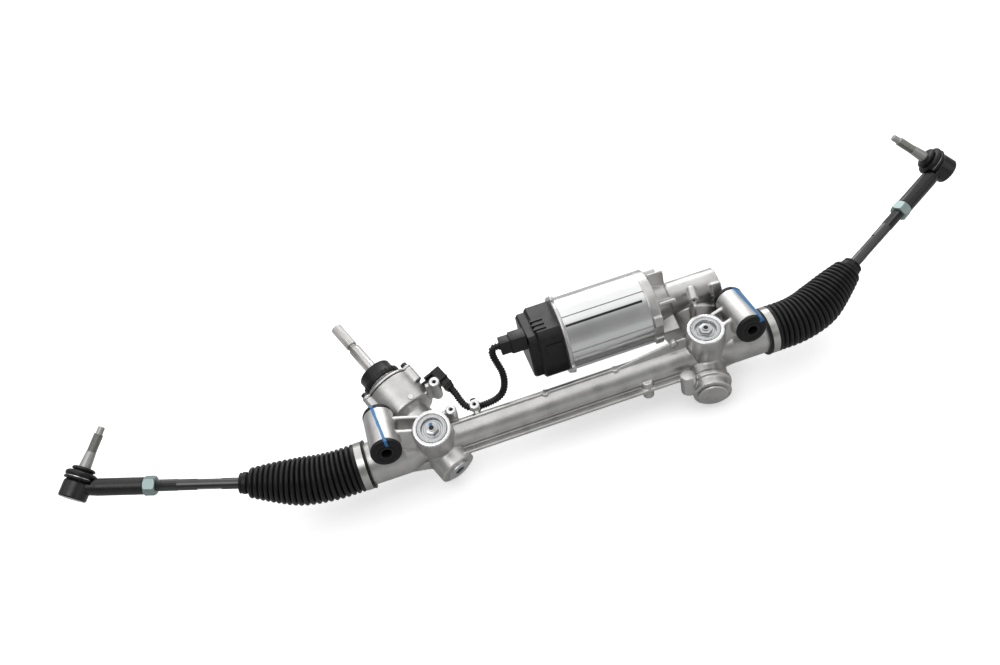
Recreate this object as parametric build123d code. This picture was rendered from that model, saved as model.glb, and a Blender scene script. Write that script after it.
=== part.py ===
from build123d import *
import os
from math import acos, cos, pi, radians, sin, tan

# A dual-pinion electric steering rack: a cast housing with two mounting eyes, a rack bar
# that slides in it, a steering pinion on the left, an assist pinion with a worm gear and a
# motor on the right, and a tie rod with bellows at each end.
# The drawing frame has X along the rack bar and Z up, with the bar's own axis at Y = Z = 0.
# Each node is lowered by MOUNT_RISE when it is saved, so that the saved part's origin lies
# midway between the two mounting eyes.

# Mounting eyes
MOUNT_SPACING = 525.0
MOUNT_RISE = 46.0
EYE_RADIUS = 21.5
EYE_LENGTH = 66.0
EYE_WALL = 4.5
BUSH_LIP = 7.0
BUSH_LIP_RADIUS = 21.8
MOUNT_SLEEVE_RADIUS = 11.0
MOUNT_BOLT_RADIUS = 7.2
EYE_WEB_REACH = 58.0
END_REACH = 51.5
LEFT_INSET = 66.5
RIGHT_INSET = 56.5
WEB_SPREAD = 14.0
WEB_THICK = 6.0
KEEL = ((23.5, 12.0), (-58.5, 12.0), (-58.5, -34.0), (-22.5, -26.0), (23.5, -24.0))
KEEL_POCKET = (
    (-15.5, 20.0), (-34.5, 17.0), (-52.5, -8.0), (-48.5, -18.0), (-22.5, -19.0), (-12.5, 0.0)
)

# Rack bar and its travel
RACK_RADIUS = 14.0
RACK_FLAT = 11.0
RACK_TRAVEL = 70.0
STOP_GAP = 2.0
RACK_SCREW_RADIUS = 8.0
RACK_SCREW_LENGTH = 14.0
TOOTH_ZONE = 176.0

# Housing tube
BORE_CLEARANCE = 1.5
TUBE_WALL = 4.5
COLLAR_RADIUS = 30.0
COLLAR_LENGTH = 27.0
STOP_BORE_RADIUS = 23.0
STOP_BORE_DEPTH = 52.0
FLANGE_REACH = 30.0
FLANGE_DROP = 12.0
FLANGE_THICK = 4.5
RIDGE_HEIGHT = 3.2
RIDGE_THICK = 3.5
RIDGE_PADS = (-32.0, 72.0)
PAD_RADIUS = 5.5
PAD_PROUD = 0.8
GUSSET_FOOT = 128.0
GUSSET_HEAD = 45.0
GUSSET_RISE = 13.0
GUSSET_TAB = 5.0
BUSH_LENGTH = 12.0
BUSH_THICK = 4.0

# Steering pinion, its tower and its yoke
LEFT_TILT = 63.5
LEFT_LEAN = -22.0
LEFT_TEETH = 7
# Assist pinion, its tower and its yoke
RIGHT_TILT = 76.5
RIGHT_LEAN = 13.0
RIGHT_TEETH = 8

# Teeth
MODULE = 2.0
PRESSURE_ANGLE = 25.0
RACK_ADDENDUM = 1.2
PINION_ADDENDUM = 1.7
TIP_CLEARANCE = 0.35
FLANK_BACKLASH = 0.12
PINION_FACE = 34.0

# Shafts, bearings and seals
RUNNING_FIT = 0.05
BEARING_WALL = 7.0
BEARING_WIDTH = 11.0
STEERING_JOURNAL = 8.0
ASSIST_JOURNAL = 9.0
SHAFT_TIP = 246.0
SHAFT_RADIUS = 8.9
SPLINE_RADIUS = 8.4
SPLINE_COUNT = 24
SPLINE_DEPTH = 0.7
SPLINE_CUT = 0.22
SPLINE_LENGTH = 39.5
LOWER_SPLINE_AT = 157.0
LOWER_SPLINE_LENGTH = 38.0
CLAMP_GROOVE_WIDTH = 7.0
CLAMP_GROOVE_DEPTH = 1.6
TORSION_RADIUS = 2.6

# Steering tower and sensor bell
TOWER_RADIUS = 27.0
TOWER_FOOT = 46.0
BELL_START = 62.0
BELL_TOP = 112.0
BELL_RADIUS = 40.0
BELL_WALL = 4.0
COVER_HEIGHT = 14.0
COVER_NECK_RADIUS = 28.0
COVER_LUG_RADIUS = 7.0
COVER_LUGS = (62.0, 182.0, 302.0)
CAP_SKIRT_RADIUS = 30.0
CAP_SKIRT_HEIGHT = 9.0
CAP_RING_RADIUS = 25.5
CAP_RING_HEIGHT = 15.0
BELL_STEP = 8.0
LUG_LENGTH = 24.0
LUG_CAP = 5.0
SENSOR_AT = 74.0
SENSOR_WIDTH = 20.0
PINION_TOP = 62.0
TORSION_TOP = 190.0

# Yokes
YOKE_RADIUS = 17.0
YOKE_GAP = 0.3
LEFT_YOKE_TOP = 55.0
RIGHT_YOKE_TOP = 53.0
YOKE_BOSS_RADIUS = 26.5
YOKE_PLUG_RADIUS = 20.5
YOKE_PLUG_HEIGHT = 12.0
YOKE_RECESS_RADIUS = 14.5
YOKE_NUT_FLATS = 17.0
YOKE_STUD_RADIUS = 4.5
YOKE_SPRING = 3.0
YOKE_FRONT = 4.0
YOKE_RECESS_DEPTH = 6.0
STUD_PROUD = 3.0
PLUG_NOTCHES = 24
YOKE_NUT_HEIGHT = 7.5

# Assist gear
WORM_STARTS = 2
WHEEL_TEETH = 41
WHEEL_AT = 87.0
WHEEL_FACE = 14.0
WORM_ADDENDUM = 1.7
WORM_DEPTH = 4.0
WORM_BACKLASH = 0.16
WORM_LENGTH = 30.0
WORM_BEARING_WIDTH = 7.0
WORM_SHOULDER = 8.0
GEAR_SPLIT = 66.0
GEAR_WALL = 5.0
GEAR_CLEARANCE = 2.5
WORM_TUBE_RADIUS = 24.0
WORM_TUBE_REACH = 54.0
ASSIST_FOOT = 62.0
GEAR_FLANGE = 9.0
GEAR_SPREAD = 22.0
GEAR_LUGS = (92.0, 150.0, 210.0, 268.0)
GEAR_LUG_RADIUS = 7.5
COVER_THICK = 6.0
COVER_BOSS_HEIGHT = 15.0
GEAR_MOUNT = 15.0
NECK_LENGTH = 39.0
NECK_RADIUS = 34.0
NECK_RIBS = (35.0, 85.0, 145.0, 205.0, 325.0)
RIB_THICK = 5.0
RIB_REACH = 2.0
COLLAR_LUGS = (168.0, 208.0)
COLLAR_LUG = (8.0, 15.0, 13.0)
END_PAD = (5.0, 20.0, 15.0)
END_PAD_TURN = 160.0
COUPLING_ROOM = 20.0
PINION_FOOT = 36.0

# Motor and its controller, on the worm's axis
MOTOR_LENGTH = 127.0
MOTOR_INSET = 63.0
MOTOR_RADIUS = 54.0
MOTOR_WALL = 6.0
MOTOR_FLANGE = 6.0
MOTOR_FLANGE_RADIUS = 57.5
STATOR_THICK = 17.0
ROTOR_RADIUS = 29.0
MOTOR_SHAFT_RADIUS = 6.0
ECU_LENGTH = 50.0
ECU_RADIUS = 52.0
ECU_HALF = 42.0
ECU_END_HALF = 37.0
ECU_EDGE = 3.0
ECU_PAD = (1.2, 20.0, 24.0)
ECU_PAD_RISE = 13.0
ECU_PLUG = (38.0, 26.0, 22.0)
MOTOR_LUGS = (80.0, 200.0, 320.0)
MOTOR_GROOVES = ((118.0, 4.0), (172.0, 5.0), (205.0, 4.0), (245.0, 4.0), (20.0, 4.0), (300.0, 4.0))
GROOVE_DEPTH = 2.0
MOTOR_SEAT_RADIUS = 14.0
STATOR_GAP = 12.0
ECU_STEP = 14.0
ECU_FINS = (-24.0, -14.0, -4.0)
ECU_FIN = (3.5, 3.0, 18.0)
ECU_PLUG_Y = 51.0
ECU_PLUG_Z = 85.0

# Screws and the bosses about the castings
SCREW_LENGTH = 20.0
SCREW_RADIUS = 3.0
SCREW_HEAD_RADIUS = 5.2
SCREW_HEAD_HEIGHT = 6.0
STEERING_BOSSES = (
    (22.4, 72.0, -14.0, 36.0, 180.0),
    (32.6, 26.0, 0.0, 33.0, 180.0),
    (66.0, 27.0, 6.0, 21.0, 270.0),
)
BOSS_RADIUS = 7.5
BOSS_WEB = 14.0
BOSS_HOLE_RADIUS = 2.4
BOSS_HOLE_DEPTH = 12.0
LOWER_BOSS_INSET = 42.0
LOWER_BOSS_Y = -38.0
LOWER_BOSS_TOP = 4.0
LOWER_BOSS_FOOT = -28.0
LOWER_BOSS_RADIUS = 11.0
STUB_INSET = 96.0
STUB_Y = -20.0
STUB_RADIUS = 8.0
TOP_LUG_X = 82.0
TOP_LUG_Y = -8.0
FIN_THICK = 5.0
FIN_MIDDLE = 44.0
CLIP_FOOT = -2.6

# Bellows
BELLOWS_CUFF = 28.0
BELLOWS_CUFF_WALL = 3.2
BELLOWS_FOLDS = 17
BELLOWS_RADIUS = 34.0
BELLOWS_FOLD_DEPTH = 7.0
BELLOWS_WALL = 2.0
BELLOWS_TIP_AT = 95.0
BELLOWS_TIP_CUFF = 13.0
BELLOWS_TIP_RADIUS = 14.0
BELLOWS_BEND = 40.0
CLAMP_WIDTH = 10.0
CLAMP_THICK = 0.9
BELLOWS_TAPER_AT = 0.68
CLAMP_AT = 12.0

# Tie rods: local X runs outwards along the rod, local Z along the ball stud
INNER_BALL_RADIUS = 14.0
INNER_SOCKET_LENGTH = 32.0
TIE_LENGTH = 330.0
TIE_RADIUS = 7.8
INNER_SOCKET_RADIUS = 19.0
SHANK_RADIUS = 12.0
SHANK_LENGTH = 92.0
JAM_NUT_FLATS = 24.0
JAM_NUT_LENGTH = 16.0
END_BALL_RADIUS = 13.5
END_SOCKET_RADIUS = 19.0
END_SOCKET_HEIGHT = 25.0
END_BOOT_RADIUS = 22.0
END_BOOT_HEIGHT = 20.0
STUD_TAPER_RADIUS = 8.0
STUD_THREAD_RADIUS = 6.0
STUD_LENGTH = 88.0
END_STUD_LEAN = 17.0
LEFT_TIE_SWEEP = 12.2
LEFT_TIE_RISE = 12.1
LEFT_STUD_ROLL = 58.0
RIGHT_TIE_SWEEP = 24.6
RIGHT_TIE_RISE = 14.4
RIGHT_STUD_ROLL = -41.0
SOCKET_LIP = 6.0
ROD_NECK = 6.0
GRIP_AT = 150.0
GRIP_LENGTH = 34.0
GRIP_DEPTH = 1.3
END_SOCKET_TOP = 9.0
CAP_SEAT = 2.2
CAP_RADIUS = 16.0
STUD_NECK = 6.5
FLAT_BALL = -11.5

# Sensor lead
LEAD_RADIUS = 4.5
SMALL_GAP = 0.3
TURN_SHARE = 0.45

# Sizes that follow from those above
HALF_SPACING = MOUNT_SPACING / 2
HOUSING_END = HALF_SPACING + END_REACH
LEFT_X = LEFT_INSET - HALF_SPACING
RIGHT_X = HALF_SPACING - RIGHT_INSET
MOTOR_END = RIGHT_X - MOTOR_INSET
MOTOR_START = MOTOR_END - MOTOR_LENGTH
GEAR_NECK = MOTOR_END + NECK_LENGTH
WORM_TUBE_END = RIGHT_X + WORM_TUBE_REACH
LOWER_BOSS_X = RIGHT_X - LOWER_BOSS_INSET
STUB_X = RIGHT_X - STUB_INSET
RACK_LENGTH = 2 * (HOUSING_END - STOP_BORE_DEPTH + RACK_TRAVEL + STOP_GAP)
INNER_BALL_X = RACK_LENGTH / 2 + INNER_SOCKET_LENGTH

BASE = (Align.CENTER, Align.CENTER, Align.MIN)
ALONG_X = Vector(1, 0, 0)
ALONG_Y = Vector(0, 1, 0)


def bar(plane, start, end, radius):
    """A round bar on a plane's own Z axis."""
    return plane * (Pos(0, 0, start) * Cylinder(radius, end - start, align=BASE))


def cone(plane, start, end, first, last):
    """A cone on a plane's own Z axis."""
    return plane * (Pos(0, 0, start) * Cone(first, last, end - start, align=BASE))


def ring(plane, start, end, outer, inner):
    """A round ring on a plane's own Z axis."""
    return bar(plane, start, end, outer) - bar(plane, start, end, inner)


def turned(plane, *profile):
    """A turned piece on a plane's own Z axis, from (radius, height) points."""
    outline = Polyline(*[(r, 0, h) for r, h in profile], close=True)
    return plane * revolve(make_face(outline), Axis.Z)


def block(plane, size, centre):
    """A plain block in a plane's own frame."""
    return plane * (Pos(*centre) * Box(*size))


def radial_block(plane, turn, radius, size, height):
    """A block centred at a radius, turned about a plane's own Z axis."""
    return plane * (Rot(0, 0, turn) * (Pos(radius, 0, height) * Box(*size)))


def hexagon(plane, start, end, flats):
    """A hexagonal bar on a plane's own Z axis."""
    face = RegularPolygon(flats / 2, 6, major_radius=False)
    return plane * (Pos(0, 0, start) * extrude(face, end - start))


def rack_axis(start=0.0):
    """The rack bar's own axis, from a place on it."""
    return Plane(origin=(start, 0, 0), x_dir=ALONG_Y, z_dir=ALONG_X)


def yoke_direction(tilt):
    return Vector(0, -cos(radians(tilt)), sin(radians(tilt)))


def yoke_plane(x, tilt):
    """A yoke's own frame: Z points out of the housing, X runs along the rack bar."""
    return Plane(origin=(x, 0, 0), x_dir=ALONG_X, z_dir=yoke_direction(tilt))


def pitch_radius(teeth):
    return MODULE * teeth / 2


def centre_distance(teeth):
    """From the rack bar's axis to a pinion's axis."""
    return RACK_FLAT - RACK_ADDENDUM + pitch_radius(teeth)


def pinion_plane(x, tilt, lean, teeth):
    """A pinion's own frame: Z runs up the shaft, X points at the rack bar."""
    out = yoke_direction(tilt)
    level = Vector(0, sin(radians(tilt)), cos(radians(tilt)))
    shaft = ALONG_X * sin(radians(lean)) + level * cos(radians(lean))
    foot = Vector(x, 0, 0) - out * centre_distance(teeth)
    return Plane(origin=foot, x_dir=out, z_dir=shaft)


def tie_plane(side, sweep_angle, rise, roll):
    """A tie rod's own frame at its inner ball: X runs outwards, Z leans as its stud does."""
    level_run = cos(radians(rise))
    across = level_run * sin(radians(sweep_angle))
    out = Vector(side * level_run * cos(radians(sweep_angle)), across, sin(radians(rise)))
    up = upright_to(out)
    beside_up = up.cross(out)
    lean = radians(roll)
    return Plane(
        origin=(side * INNER_BALL_X, 0, 0),
        x_dir=out,
        z_dir=up * cos(lean) - beside_up * sin(lean),
    )


def upright_to(out):
    """The direction nearest to straight up that is square to another."""
    up = Vector(0, 0, 1)
    return (up - out * up.dot(out)).normalized()


LEFT_YOKE = yoke_plane(LEFT_X, LEFT_TILT)
RIGHT_YOKE = yoke_plane(RIGHT_X, RIGHT_TILT)
STEERING = pinion_plane(LEFT_X, LEFT_TILT, LEFT_LEAN, LEFT_TEETH)
ASSIST = pinion_plane(RIGHT_X, RIGHT_TILT, RIGHT_LEAN, RIGHT_TEETH)
LEFT_TIE = tie_plane(-1, LEFT_TIE_SWEEP, LEFT_TIE_RISE, LEFT_STUD_ROLL)
RIGHT_TIE = tie_plane(1, RIGHT_TIE_SWEEP, RIGHT_TIE_RISE, RIGHT_STUD_ROLL)

# The worm's lead angle equals the lean of the assist pinion, so the wheel's teeth are straight.
WORM_RADIUS = WORM_STARTS * MODULE / (2 * sin(radians(RIGHT_LEAN)))
WORM_LEAD = WORM_STARTS * pi * MODULE / cos(radians(RIGHT_LEAN))
WORM_DISTANCE = WORM_RADIUS + pitch_radius(WHEEL_TEETH)
WORM_CENTRE = ASSIST.origin + ASSIST.z_dir * WHEEL_AT + ASSIST.x_dir * WORM_DISTANCE
WORM = Plane(origin=WORM_CENTRE, x_dir=ASSIST.x_dir * -1, z_dir=ALONG_X)
MOTOR = Plane(origin=(0, WORM_CENTRE.Y, WORM_CENTRE.Z), x_dir=ALONG_Y, z_dir=ALONG_X)

BORE_RADIUS = RACK_RADIUS + BORE_CLEARANCE
TUBE_RADIUS = BORE_RADIUS + TUBE_WALL
FACE_HALF = PINION_FACE / 2
BEARING_AT = FACE_HALF + 2
STEERING_BEARING_RADIUS = STEERING_JOURNAL + BEARING_WALL
ASSIST_BEARING_RADIUS = ASSIST_JOURNAL + BEARING_WALL
WORM_BEARING_RADIUS = MOTOR_SHAFT_RADIUS + BEARING_WALL
WORM_BEARING_AT = WORM_LENGTH / 2 + WORM_SHOULDER
WORM_BORE = WORM_RADIUS + WORM_ADDENDUM + GEAR_CLEARANCE
CHAMBER_RADIUS = pitch_radius(WHEEL_TEETH) + WORM_ADDENDUM + GEAR_CLEARANCE
GEAR_TOP = WHEEL_AT + WHEEL_FACE / 2 + GEAR_CLEARANCE
COUPLING_START = MOTOR_END + 8
COUPLING_END = COUPLING_START + 18
BUSH_AT = HOUSING_END - STOP_BORE_DEPTH - BUSH_LENGTH - 3
NUT_AT = TIE_LENGTH - SHANK_LENGTH - JAM_NUT_LENGTH
ROD_END_AT = TIE_LENGTH - SHANK_LENGTH + 38


def involute(angle):
    return tan(angle) - angle


def on_circle(radius, angle):
    return (radius * cos(angle), radius * sin(angle))


def gear_section(teeth, addendum, dedendum, backlash, phase):
    """A gear's section: each flank is an arc through three points of its involute."""
    pitch = pitch_radius(teeth)
    pressure = radians(PRESSURE_ANGLE)
    base = pitch * cos(pressure)
    root = pitch - dedendum
    foot = max(base, root)
    tip = pitch + addendum
    half = pi / (2 * teeth) - backlash / (2 * pitch) + involute(pressure)
    radii = (foot, (foot + tip) / 2, tip)
    offsets = [half - involute(acos(base / r)) for r in radii]
    lines = []
    for tooth in range(teeth):
        middle = phase + 2 * pi * tooth / teeth
        rise = [on_circle(r, middle - o) for r, o in zip(radii, offsets)]
        fall = [on_circle(r, middle + o) for r, o in zip(radii, offsets)]
        start = on_circle(root, middle - offsets[0])
        end = on_circle(root, middle + offsets[0])
        if root < foot:
            lines += [Line(start, rise[0]), Line(fall[0], end)]
        next_start = on_circle(root, middle + 2 * pi / teeth - offsets[0])
        valley = on_circle(root, middle + pi / teeth)
        lines += [
            ThreePointArc(*rise),
            Line(rise[2], fall[2]),
            ThreePointArc(*fall),
            ThreePointArc(end, valley, next_start),
        ]
    return make_face(Wire(Curve() + lines))


def worm_section():
    """The worm's section across its axis, with one lobe for each start."""
    root = WORM_RADIUS - WORM_ADDENDUM - TIP_CLEARANCE
    tip = WORM_RADIUS + WORM_ADDENDUM
    half_thread = pi * MODULE / 4 - WORM_BACKLASH / 2
    slope = tan(radians(PRESSURE_ANGLE))
    radii = (root, WORM_RADIUS, tip)
    turn = 2 / (WORM_STARTS * MODULE)
    offsets = [turn * (half_thread - (r - WORM_RADIUS) * slope) for r in radii]
    lines = []
    for start in range(WORM_STARTS):
        middle = 2 * pi * start / WORM_STARTS
        rise = [on_circle(r, middle - o) for r, o in zip(radii, offsets)]
        fall = [on_circle(r, middle + o) for r, o in zip(radii, offsets)]
        valley = on_circle(root, middle + pi / WORM_STARTS)
        next_start = on_circle(root, middle + 2 * pi / WORM_STARTS - offsets[0])
        lines += [
            ThreePointArc(*rise),
            ThreePointArc(rise[2], on_circle(tip, middle), fall[2]),
            ThreePointArc(*fall[::-1]),
            ThreePointArc(fall[0], valley, next_start),
        ]
    return make_face(Wire(Curve() + lines))


def rack_gaps(plane, teeth, lean):
    """The gaps between the rack teeth that mesh with one pinion, parallel to its axis."""
    pitch_line = pitch_radius(teeth)
    pitch = pi * MODULE
    slope = tan(radians(PRESSURE_ANGLE))
    depth = pitch_line + PINION_ADDENDUM + TIP_CLEARANCE
    mouth = pitch_line - RACK_ADDENDUM - 1
    half = pitch / 4 + FLANK_BACKLASH / 2
    deep_half = half - (depth - pitch_line) * slope
    mouth_half = half + (pitch_line - mouth) * slope
    corners = [
        (mouth, -mouth_half),
        (depth, -deep_half),
        (depth, deep_half),
        (mouth, mouth_half),
    ]
    gap = plane * extrude(make_face(Polyline(*corners, close=True)), RACK_RADIUS * 2, both=True)
    spacing = pitch / cos(radians(lean))
    count = int((TOOTH_ZONE / 2 - spacing) / spacing)
    return [Pos(step * spacing, 0, 0) * gap for step in range(-count, count + 1)]


def rack_bar():
    """The round rack bar, with a toothed flat under each yoke."""
    half = RACK_LENGTH / 2
    body = bar(rack_axis(), -half, half, RACK_RADIUS)
    for plane in (LEFT_YOKE, RIGHT_YOKE):
        cut = RACK_RADIUS - RACK_FLAT
        middle = -RACK_FLAT - cut
        body -= block(plane, (TOOTH_ZONE, 3 * RACK_RADIUS, 2 * cut), (0, 0, middle))
    body -= rack_gaps(STEERING, LEFT_TEETH, LEFT_LEAN)
    body -= rack_gaps(ASSIST, RIGHT_TEETH, RIGHT_LEAN)
    for side in (-1, 1):
        end = side * half
        screw = sorted((end, end + side * RACK_SCREW_LENGTH))
        body += bar(rack_axis(), *screw, RACK_SCREW_RADIUS)
    return body


def pinion(plane, teeth, journal, top, bottom):
    """A pinion with its shaft: the teeth sit opposite the yoke."""
    section = gear_section(
        teeth, PINION_ADDENDUM, RACK_ADDENDUM + TIP_CLEARANCE, FLANK_BACKLASH, 0
    )
    teeth_solid = plane * (Pos(0, 0, -FACE_HALF) * extrude(section, PINION_FACE))
    lower = bar(plane, -bottom, -FACE_HALF, journal)
    upper = bar(plane, FACE_HALF, top, journal)
    return teeth_solid + lower + upper


def assist_pinion():
    """The assist pinion, whose shaft runs on through the worm wheel."""
    return pinion(ASSIST, RIGHT_TEETH, ASSIST_JOURNAL, GEAR_TOP + BEARING_WIDTH, PINION_FOOT)


def worm_wheel():
    section = gear_section(
        WHEEL_TEETH, WORM_ADDENDUM, WORM_ADDENDUM + TIP_CLEARANCE, WORM_BACKLASH, pi / WHEEL_TEETH
    )
    start = WHEEL_AT - WHEEL_FACE / 2
    wheel = ASSIST * (Pos(0, 0, start) * extrude(section, WHEEL_FACE))
    wheel -= bar(ASSIST, start, start + WHEEL_FACE, ASSIST_JOURNAL)
    return wheel


def worm_shaft():
    """A two-start worm on a plain shaft that reaches to the motor's coupling."""
    half = WORM_LENGTH / 2
    turn = 360 * WORM_LENGTH / WORM_LEAD
    section = (Rot(0, 0, -turn / 2) * worm_section()).face()
    thread = Solid.extrude_linear_with_rotation(
        section, center=(0, 0, 0), normal=(0, 0, WORM_LENGTH), angle=turn
    )
    worm = WORM * (Pos(0, 0, -half) * thread)
    end = WORM_BEARING_AT + WORM_BEARING_WIDTH
    coupling_end = COUPLING_END - WORM_CENTRE.X + 2
    worm += bar(WORM, half, end, MOTOR_SHAFT_RADIUS)
    worm += bar(WORM, coupling_end, -half, MOTOR_SHAFT_RADIUS)
    return worm


def upright(x, y, height, radius, foot):
    """A vertical boss from one height to another."""
    return bar(Plane(origin=(x, y, 0)), foot, height, radius)


def eye_plane(side):
    """A mounting eye's own frame: Z runs away from the viewer's side, along the bolt."""
    return Plane(origin=(side * HALF_SPACING, 0, MOUNT_RISE), x_dir=ALONG_X, z_dir=ALONG_Y)


def wall_plate(corners, y, thick):
    """A flat rib in the XZ plane, from its corners."""
    face = make_face(Polyline(*[(x, y, z) for x, z in corners], close=True))
    return extrude(face, thick / 2, dir=ALONG_Y, both=True)


def tube_casting():
    """The tube with its end collars, its level flanges and the ridge along its top."""
    body = bar(rack_axis(), -HOUSING_END, HOUSING_END, TUBE_RADIUS)
    swell = HALF_SPACING - EYE_RADIUS
    for side in (-1, 1):
        end = side * HOUSING_END
        inner = side * swell
        body += bar(rack_axis(), *sorted((inner, end)), COLLAR_RADIUS)
        neck = side * (swell - COLLAR_LENGTH)
        radii = (TUBE_RADIUS, COLLAR_RADIUS) if side > 0 else (COLLAR_RADIUS, TUBE_RADIUS)
        body += cone(rack_axis(), *sorted((neck, inner)), *radii)
    inside = RIGHT_X - LEFT_X
    middle = (RIGHT_X + LEFT_X) / 2
    body += Pos(middle, 0, -FLANGE_DROP) * Box(inside, 2 * FLANGE_REACH, FLANGE_THICK)
    rise = TUBE_RADIUS + RIDGE_HEIGHT
    body += Pos(middle, 0, rise / 2) * Box(inside, RIDGE_THICK, rise)
    for x in RIDGE_PADS:
        body += upright(x, 0, rise + PAD_PROUD, PAD_RADIUS, 0)
    foot = RIGHT_X - GUSSET_FOOT
    head = RIGHT_X - GUSSET_HEAD
    corners = [(foot, 0), (foot, rise), (head, rise + GUSSET_RISE), (RIGHT_X, rise + GUSSET_RISE), (RIGHT_X, 0)]
    body += wall_plate(corners, 0, RIDGE_THICK)
    tab = Plane(origin=(head, 0, rise + GUSSET_RISE - GUSSET_TAB / 2), x_dir=ALONG_X, z_dir=ALONG_Y)
    return body + bar(tab, -GUSSET_TAB, GUSSET_TAB, GUSSET_TAB)


def eye_casting(side):
    """One mounting eye and the web that carries it."""
    half = EYE_LENGTH / 2
    eye = bar(eye_plane(side), -half, half, EYE_RADIUS)
    foot = side * HALF_SPACING
    tower = side * (HALF_SPACING - EYE_WEB_REACH)
    out = side * (HALF_SPACING + EYE_RADIUS)
    corners = [
        (foot, MOUNT_RISE + EYE_RADIUS - EYE_WALL),
        (tower, MOUNT_RISE - EYE_WALL),
        (tower, 0),
        (out, 0),
        (out, MOUNT_RISE),
    ]
    for y in (-WEB_SPREAD, WEB_SPREAD):
        eye += wall_plate(corners, y, WEB_THICK)
    keel = [(foot + side * x, z) for x, z in KEEL]
    pocket = [(foot + side * x, z) for x, z in KEEL_POCKET]
    eye += wall_plate(keel, -WEB_SPREAD, WEB_THICK)
    return eye - wall_plate(pocket, -WEB_SPREAD - 1, WEB_THICK + 2)


def steering_tower():
    """The casting round the steering pinion, which opens into the sensor bell."""
    body = bar(STEERING, -TOWER_FOOT, BELL_START, TOWER_RADIUS)
    body += cone(STEERING, BELL_START - BELL_STEP, BELL_START, TOWER_RADIUS, BELL_RADIUS - 4)
    body += bar(STEERING, BELL_START, BELL_TOP, BELL_RADIUS)
    for place in cover_screw_places():
        body += bar(place, -LUG_LENGTH, 0, COVER_LUG_RADIUS)
    return body


def assist_tower():
    """The casting round the assist pinion, which spreads to the gear housing's flange."""
    body = bar(ASSIST, -ASSIST_FOOT, GEAR_SPLIT, TOWER_RADIUS)
    outer = CHAMBER_RADIUS + GEAR_WALL
    flange = GEAR_SPLIT - GEAR_FLANGE
    body += cone(ASSIST, flange - GEAR_SPREAD, flange, TOWER_RADIUS, outer)
    body += bar(ASSIST, flange, GEAR_SPLIT, outer)
    for place in gear_screw_places():
        body += bar(place, flange, GEAR_SPLIT, GEAR_LUG_RADIUS)
    return body


def rack_housing():
    """The main casting, bored for everything that it holds."""
    body = tube_casting()
    body += eye_casting(-1)
    body += eye_casting(1)
    body += steering_tower()
    body += assist_tower()
    body += bar(LEFT_YOKE, 0, LEFT_YOKE_TOP, YOKE_BOSS_RADIUS)
    body += bar(RIGHT_YOKE, 0, RIGHT_YOKE_TOP, YOKE_BOSS_RADIUS)
    body += steering_bosses()
    body += assist_bosses()
    for side in (-1, 1):
        half = EYE_LENGTH / 2
        lip = half + BUSH_LIP + SMALL_GAP
        body -= bar(eye_plane(side), -half, half, EYE_RADIUS - EYE_WALL)
        body -= bar(eye_plane(side), half, lip, BUSH_LIP_RADIUS + SMALL_GAP)
        body -= bar(eye_plane(side), -lip, -half, BUSH_LIP_RADIUS + SMALL_GAP)
        stop = side * (HOUSING_END - STOP_BORE_DEPTH)
        body -= bar(rack_axis(), *sorted((stop, side * HOUSING_END)), STOP_BORE_RADIUS)
        seat = side * BUSH_AT
        seat_end = side * (BUSH_AT + BUSH_LENGTH)
        body -= bar(rack_axis(), *sorted((seat, seat_end)), RACK_RADIUS + BUSH_THICK)
    body -= bar(rack_axis(), -HOUSING_END, HOUSING_END, BORE_RADIUS)
    bell_floor = BELL_START + BELL_WALL
    body -= pinion_bore(STEERING, STEERING_BEARING_RADIUS, LEFT_TEETH, TOWER_FOOT, bell_floor)
    body -= bar(STEERING, bell_floor, BELL_TOP, BELL_RADIUS - BELL_WALL)
    body -= pinion_bore(ASSIST, ASSIST_BEARING_RADIUS, RIGHT_TEETH, ASSIST_FOOT, GEAR_SPLIT)
    body -= bar(LEFT_YOKE, 0, LEFT_YOKE_TOP, YOKE_RADIUS)
    body -= bar(RIGHT_YOKE, 0, RIGHT_YOKE_TOP, YOKE_RADIUS)
    for plane, top in ((LEFT_YOKE, LEFT_YOKE_TOP), (RIGHT_YOKE, RIGHT_YOKE_TOP)):
        body -= bar(plane, top - YOKE_PLUG_HEIGHT, top, YOKE_PLUG_RADIUS)
    for place in cover_screw_places():
        body -= bar(place, -SCREW_LENGTH, 0, SCREW_RADIUS)
    for place in gear_screw_places():
        body -= bar(place, GEAR_SPLIT - GEAR_FLANGE, GEAR_SPLIT, SCREW_RADIUS)
    return body


def pinion_bore(plane, seat, teeth, foot, top):
    """The room for a pinion, with a bearing seat below and above its teeth."""
    room = pitch_radius(teeth) + PINION_ADDENDUM + BORE_CLEARANCE
    bore = bar(plane, -foot, -BEARING_AT, seat)
    bore += bar(plane, -BEARING_AT, BEARING_AT, room)
    bore += bar(plane, BEARING_AT, top, seat)
    return bore


def cover_screw_places():
    """Where the sensor cover's screws enter the bell, each frame pointing up the screw."""
    places = []
    for turn in COVER_LUGS:
        x, y = on_circle(BELL_RADIUS + 1, radians(turn))
        centre = STEERING.origin + STEERING.x_dir * x + STEERING.y_dir * y
        centre += STEERING.z_dir * BELL_TOP
        places.append(Plane(origin=centre, x_dir=STEERING.x_dir, z_dir=STEERING.z_dir))
    return places


def beside(plane, x, y):
    """A frame parallel to another, moved across it."""
    origin = plane.origin + plane.x_dir * x + plane.y_dir * y
    return Plane(origin=origin, x_dir=plane.x_dir, z_dir=plane.z_dir)


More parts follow.
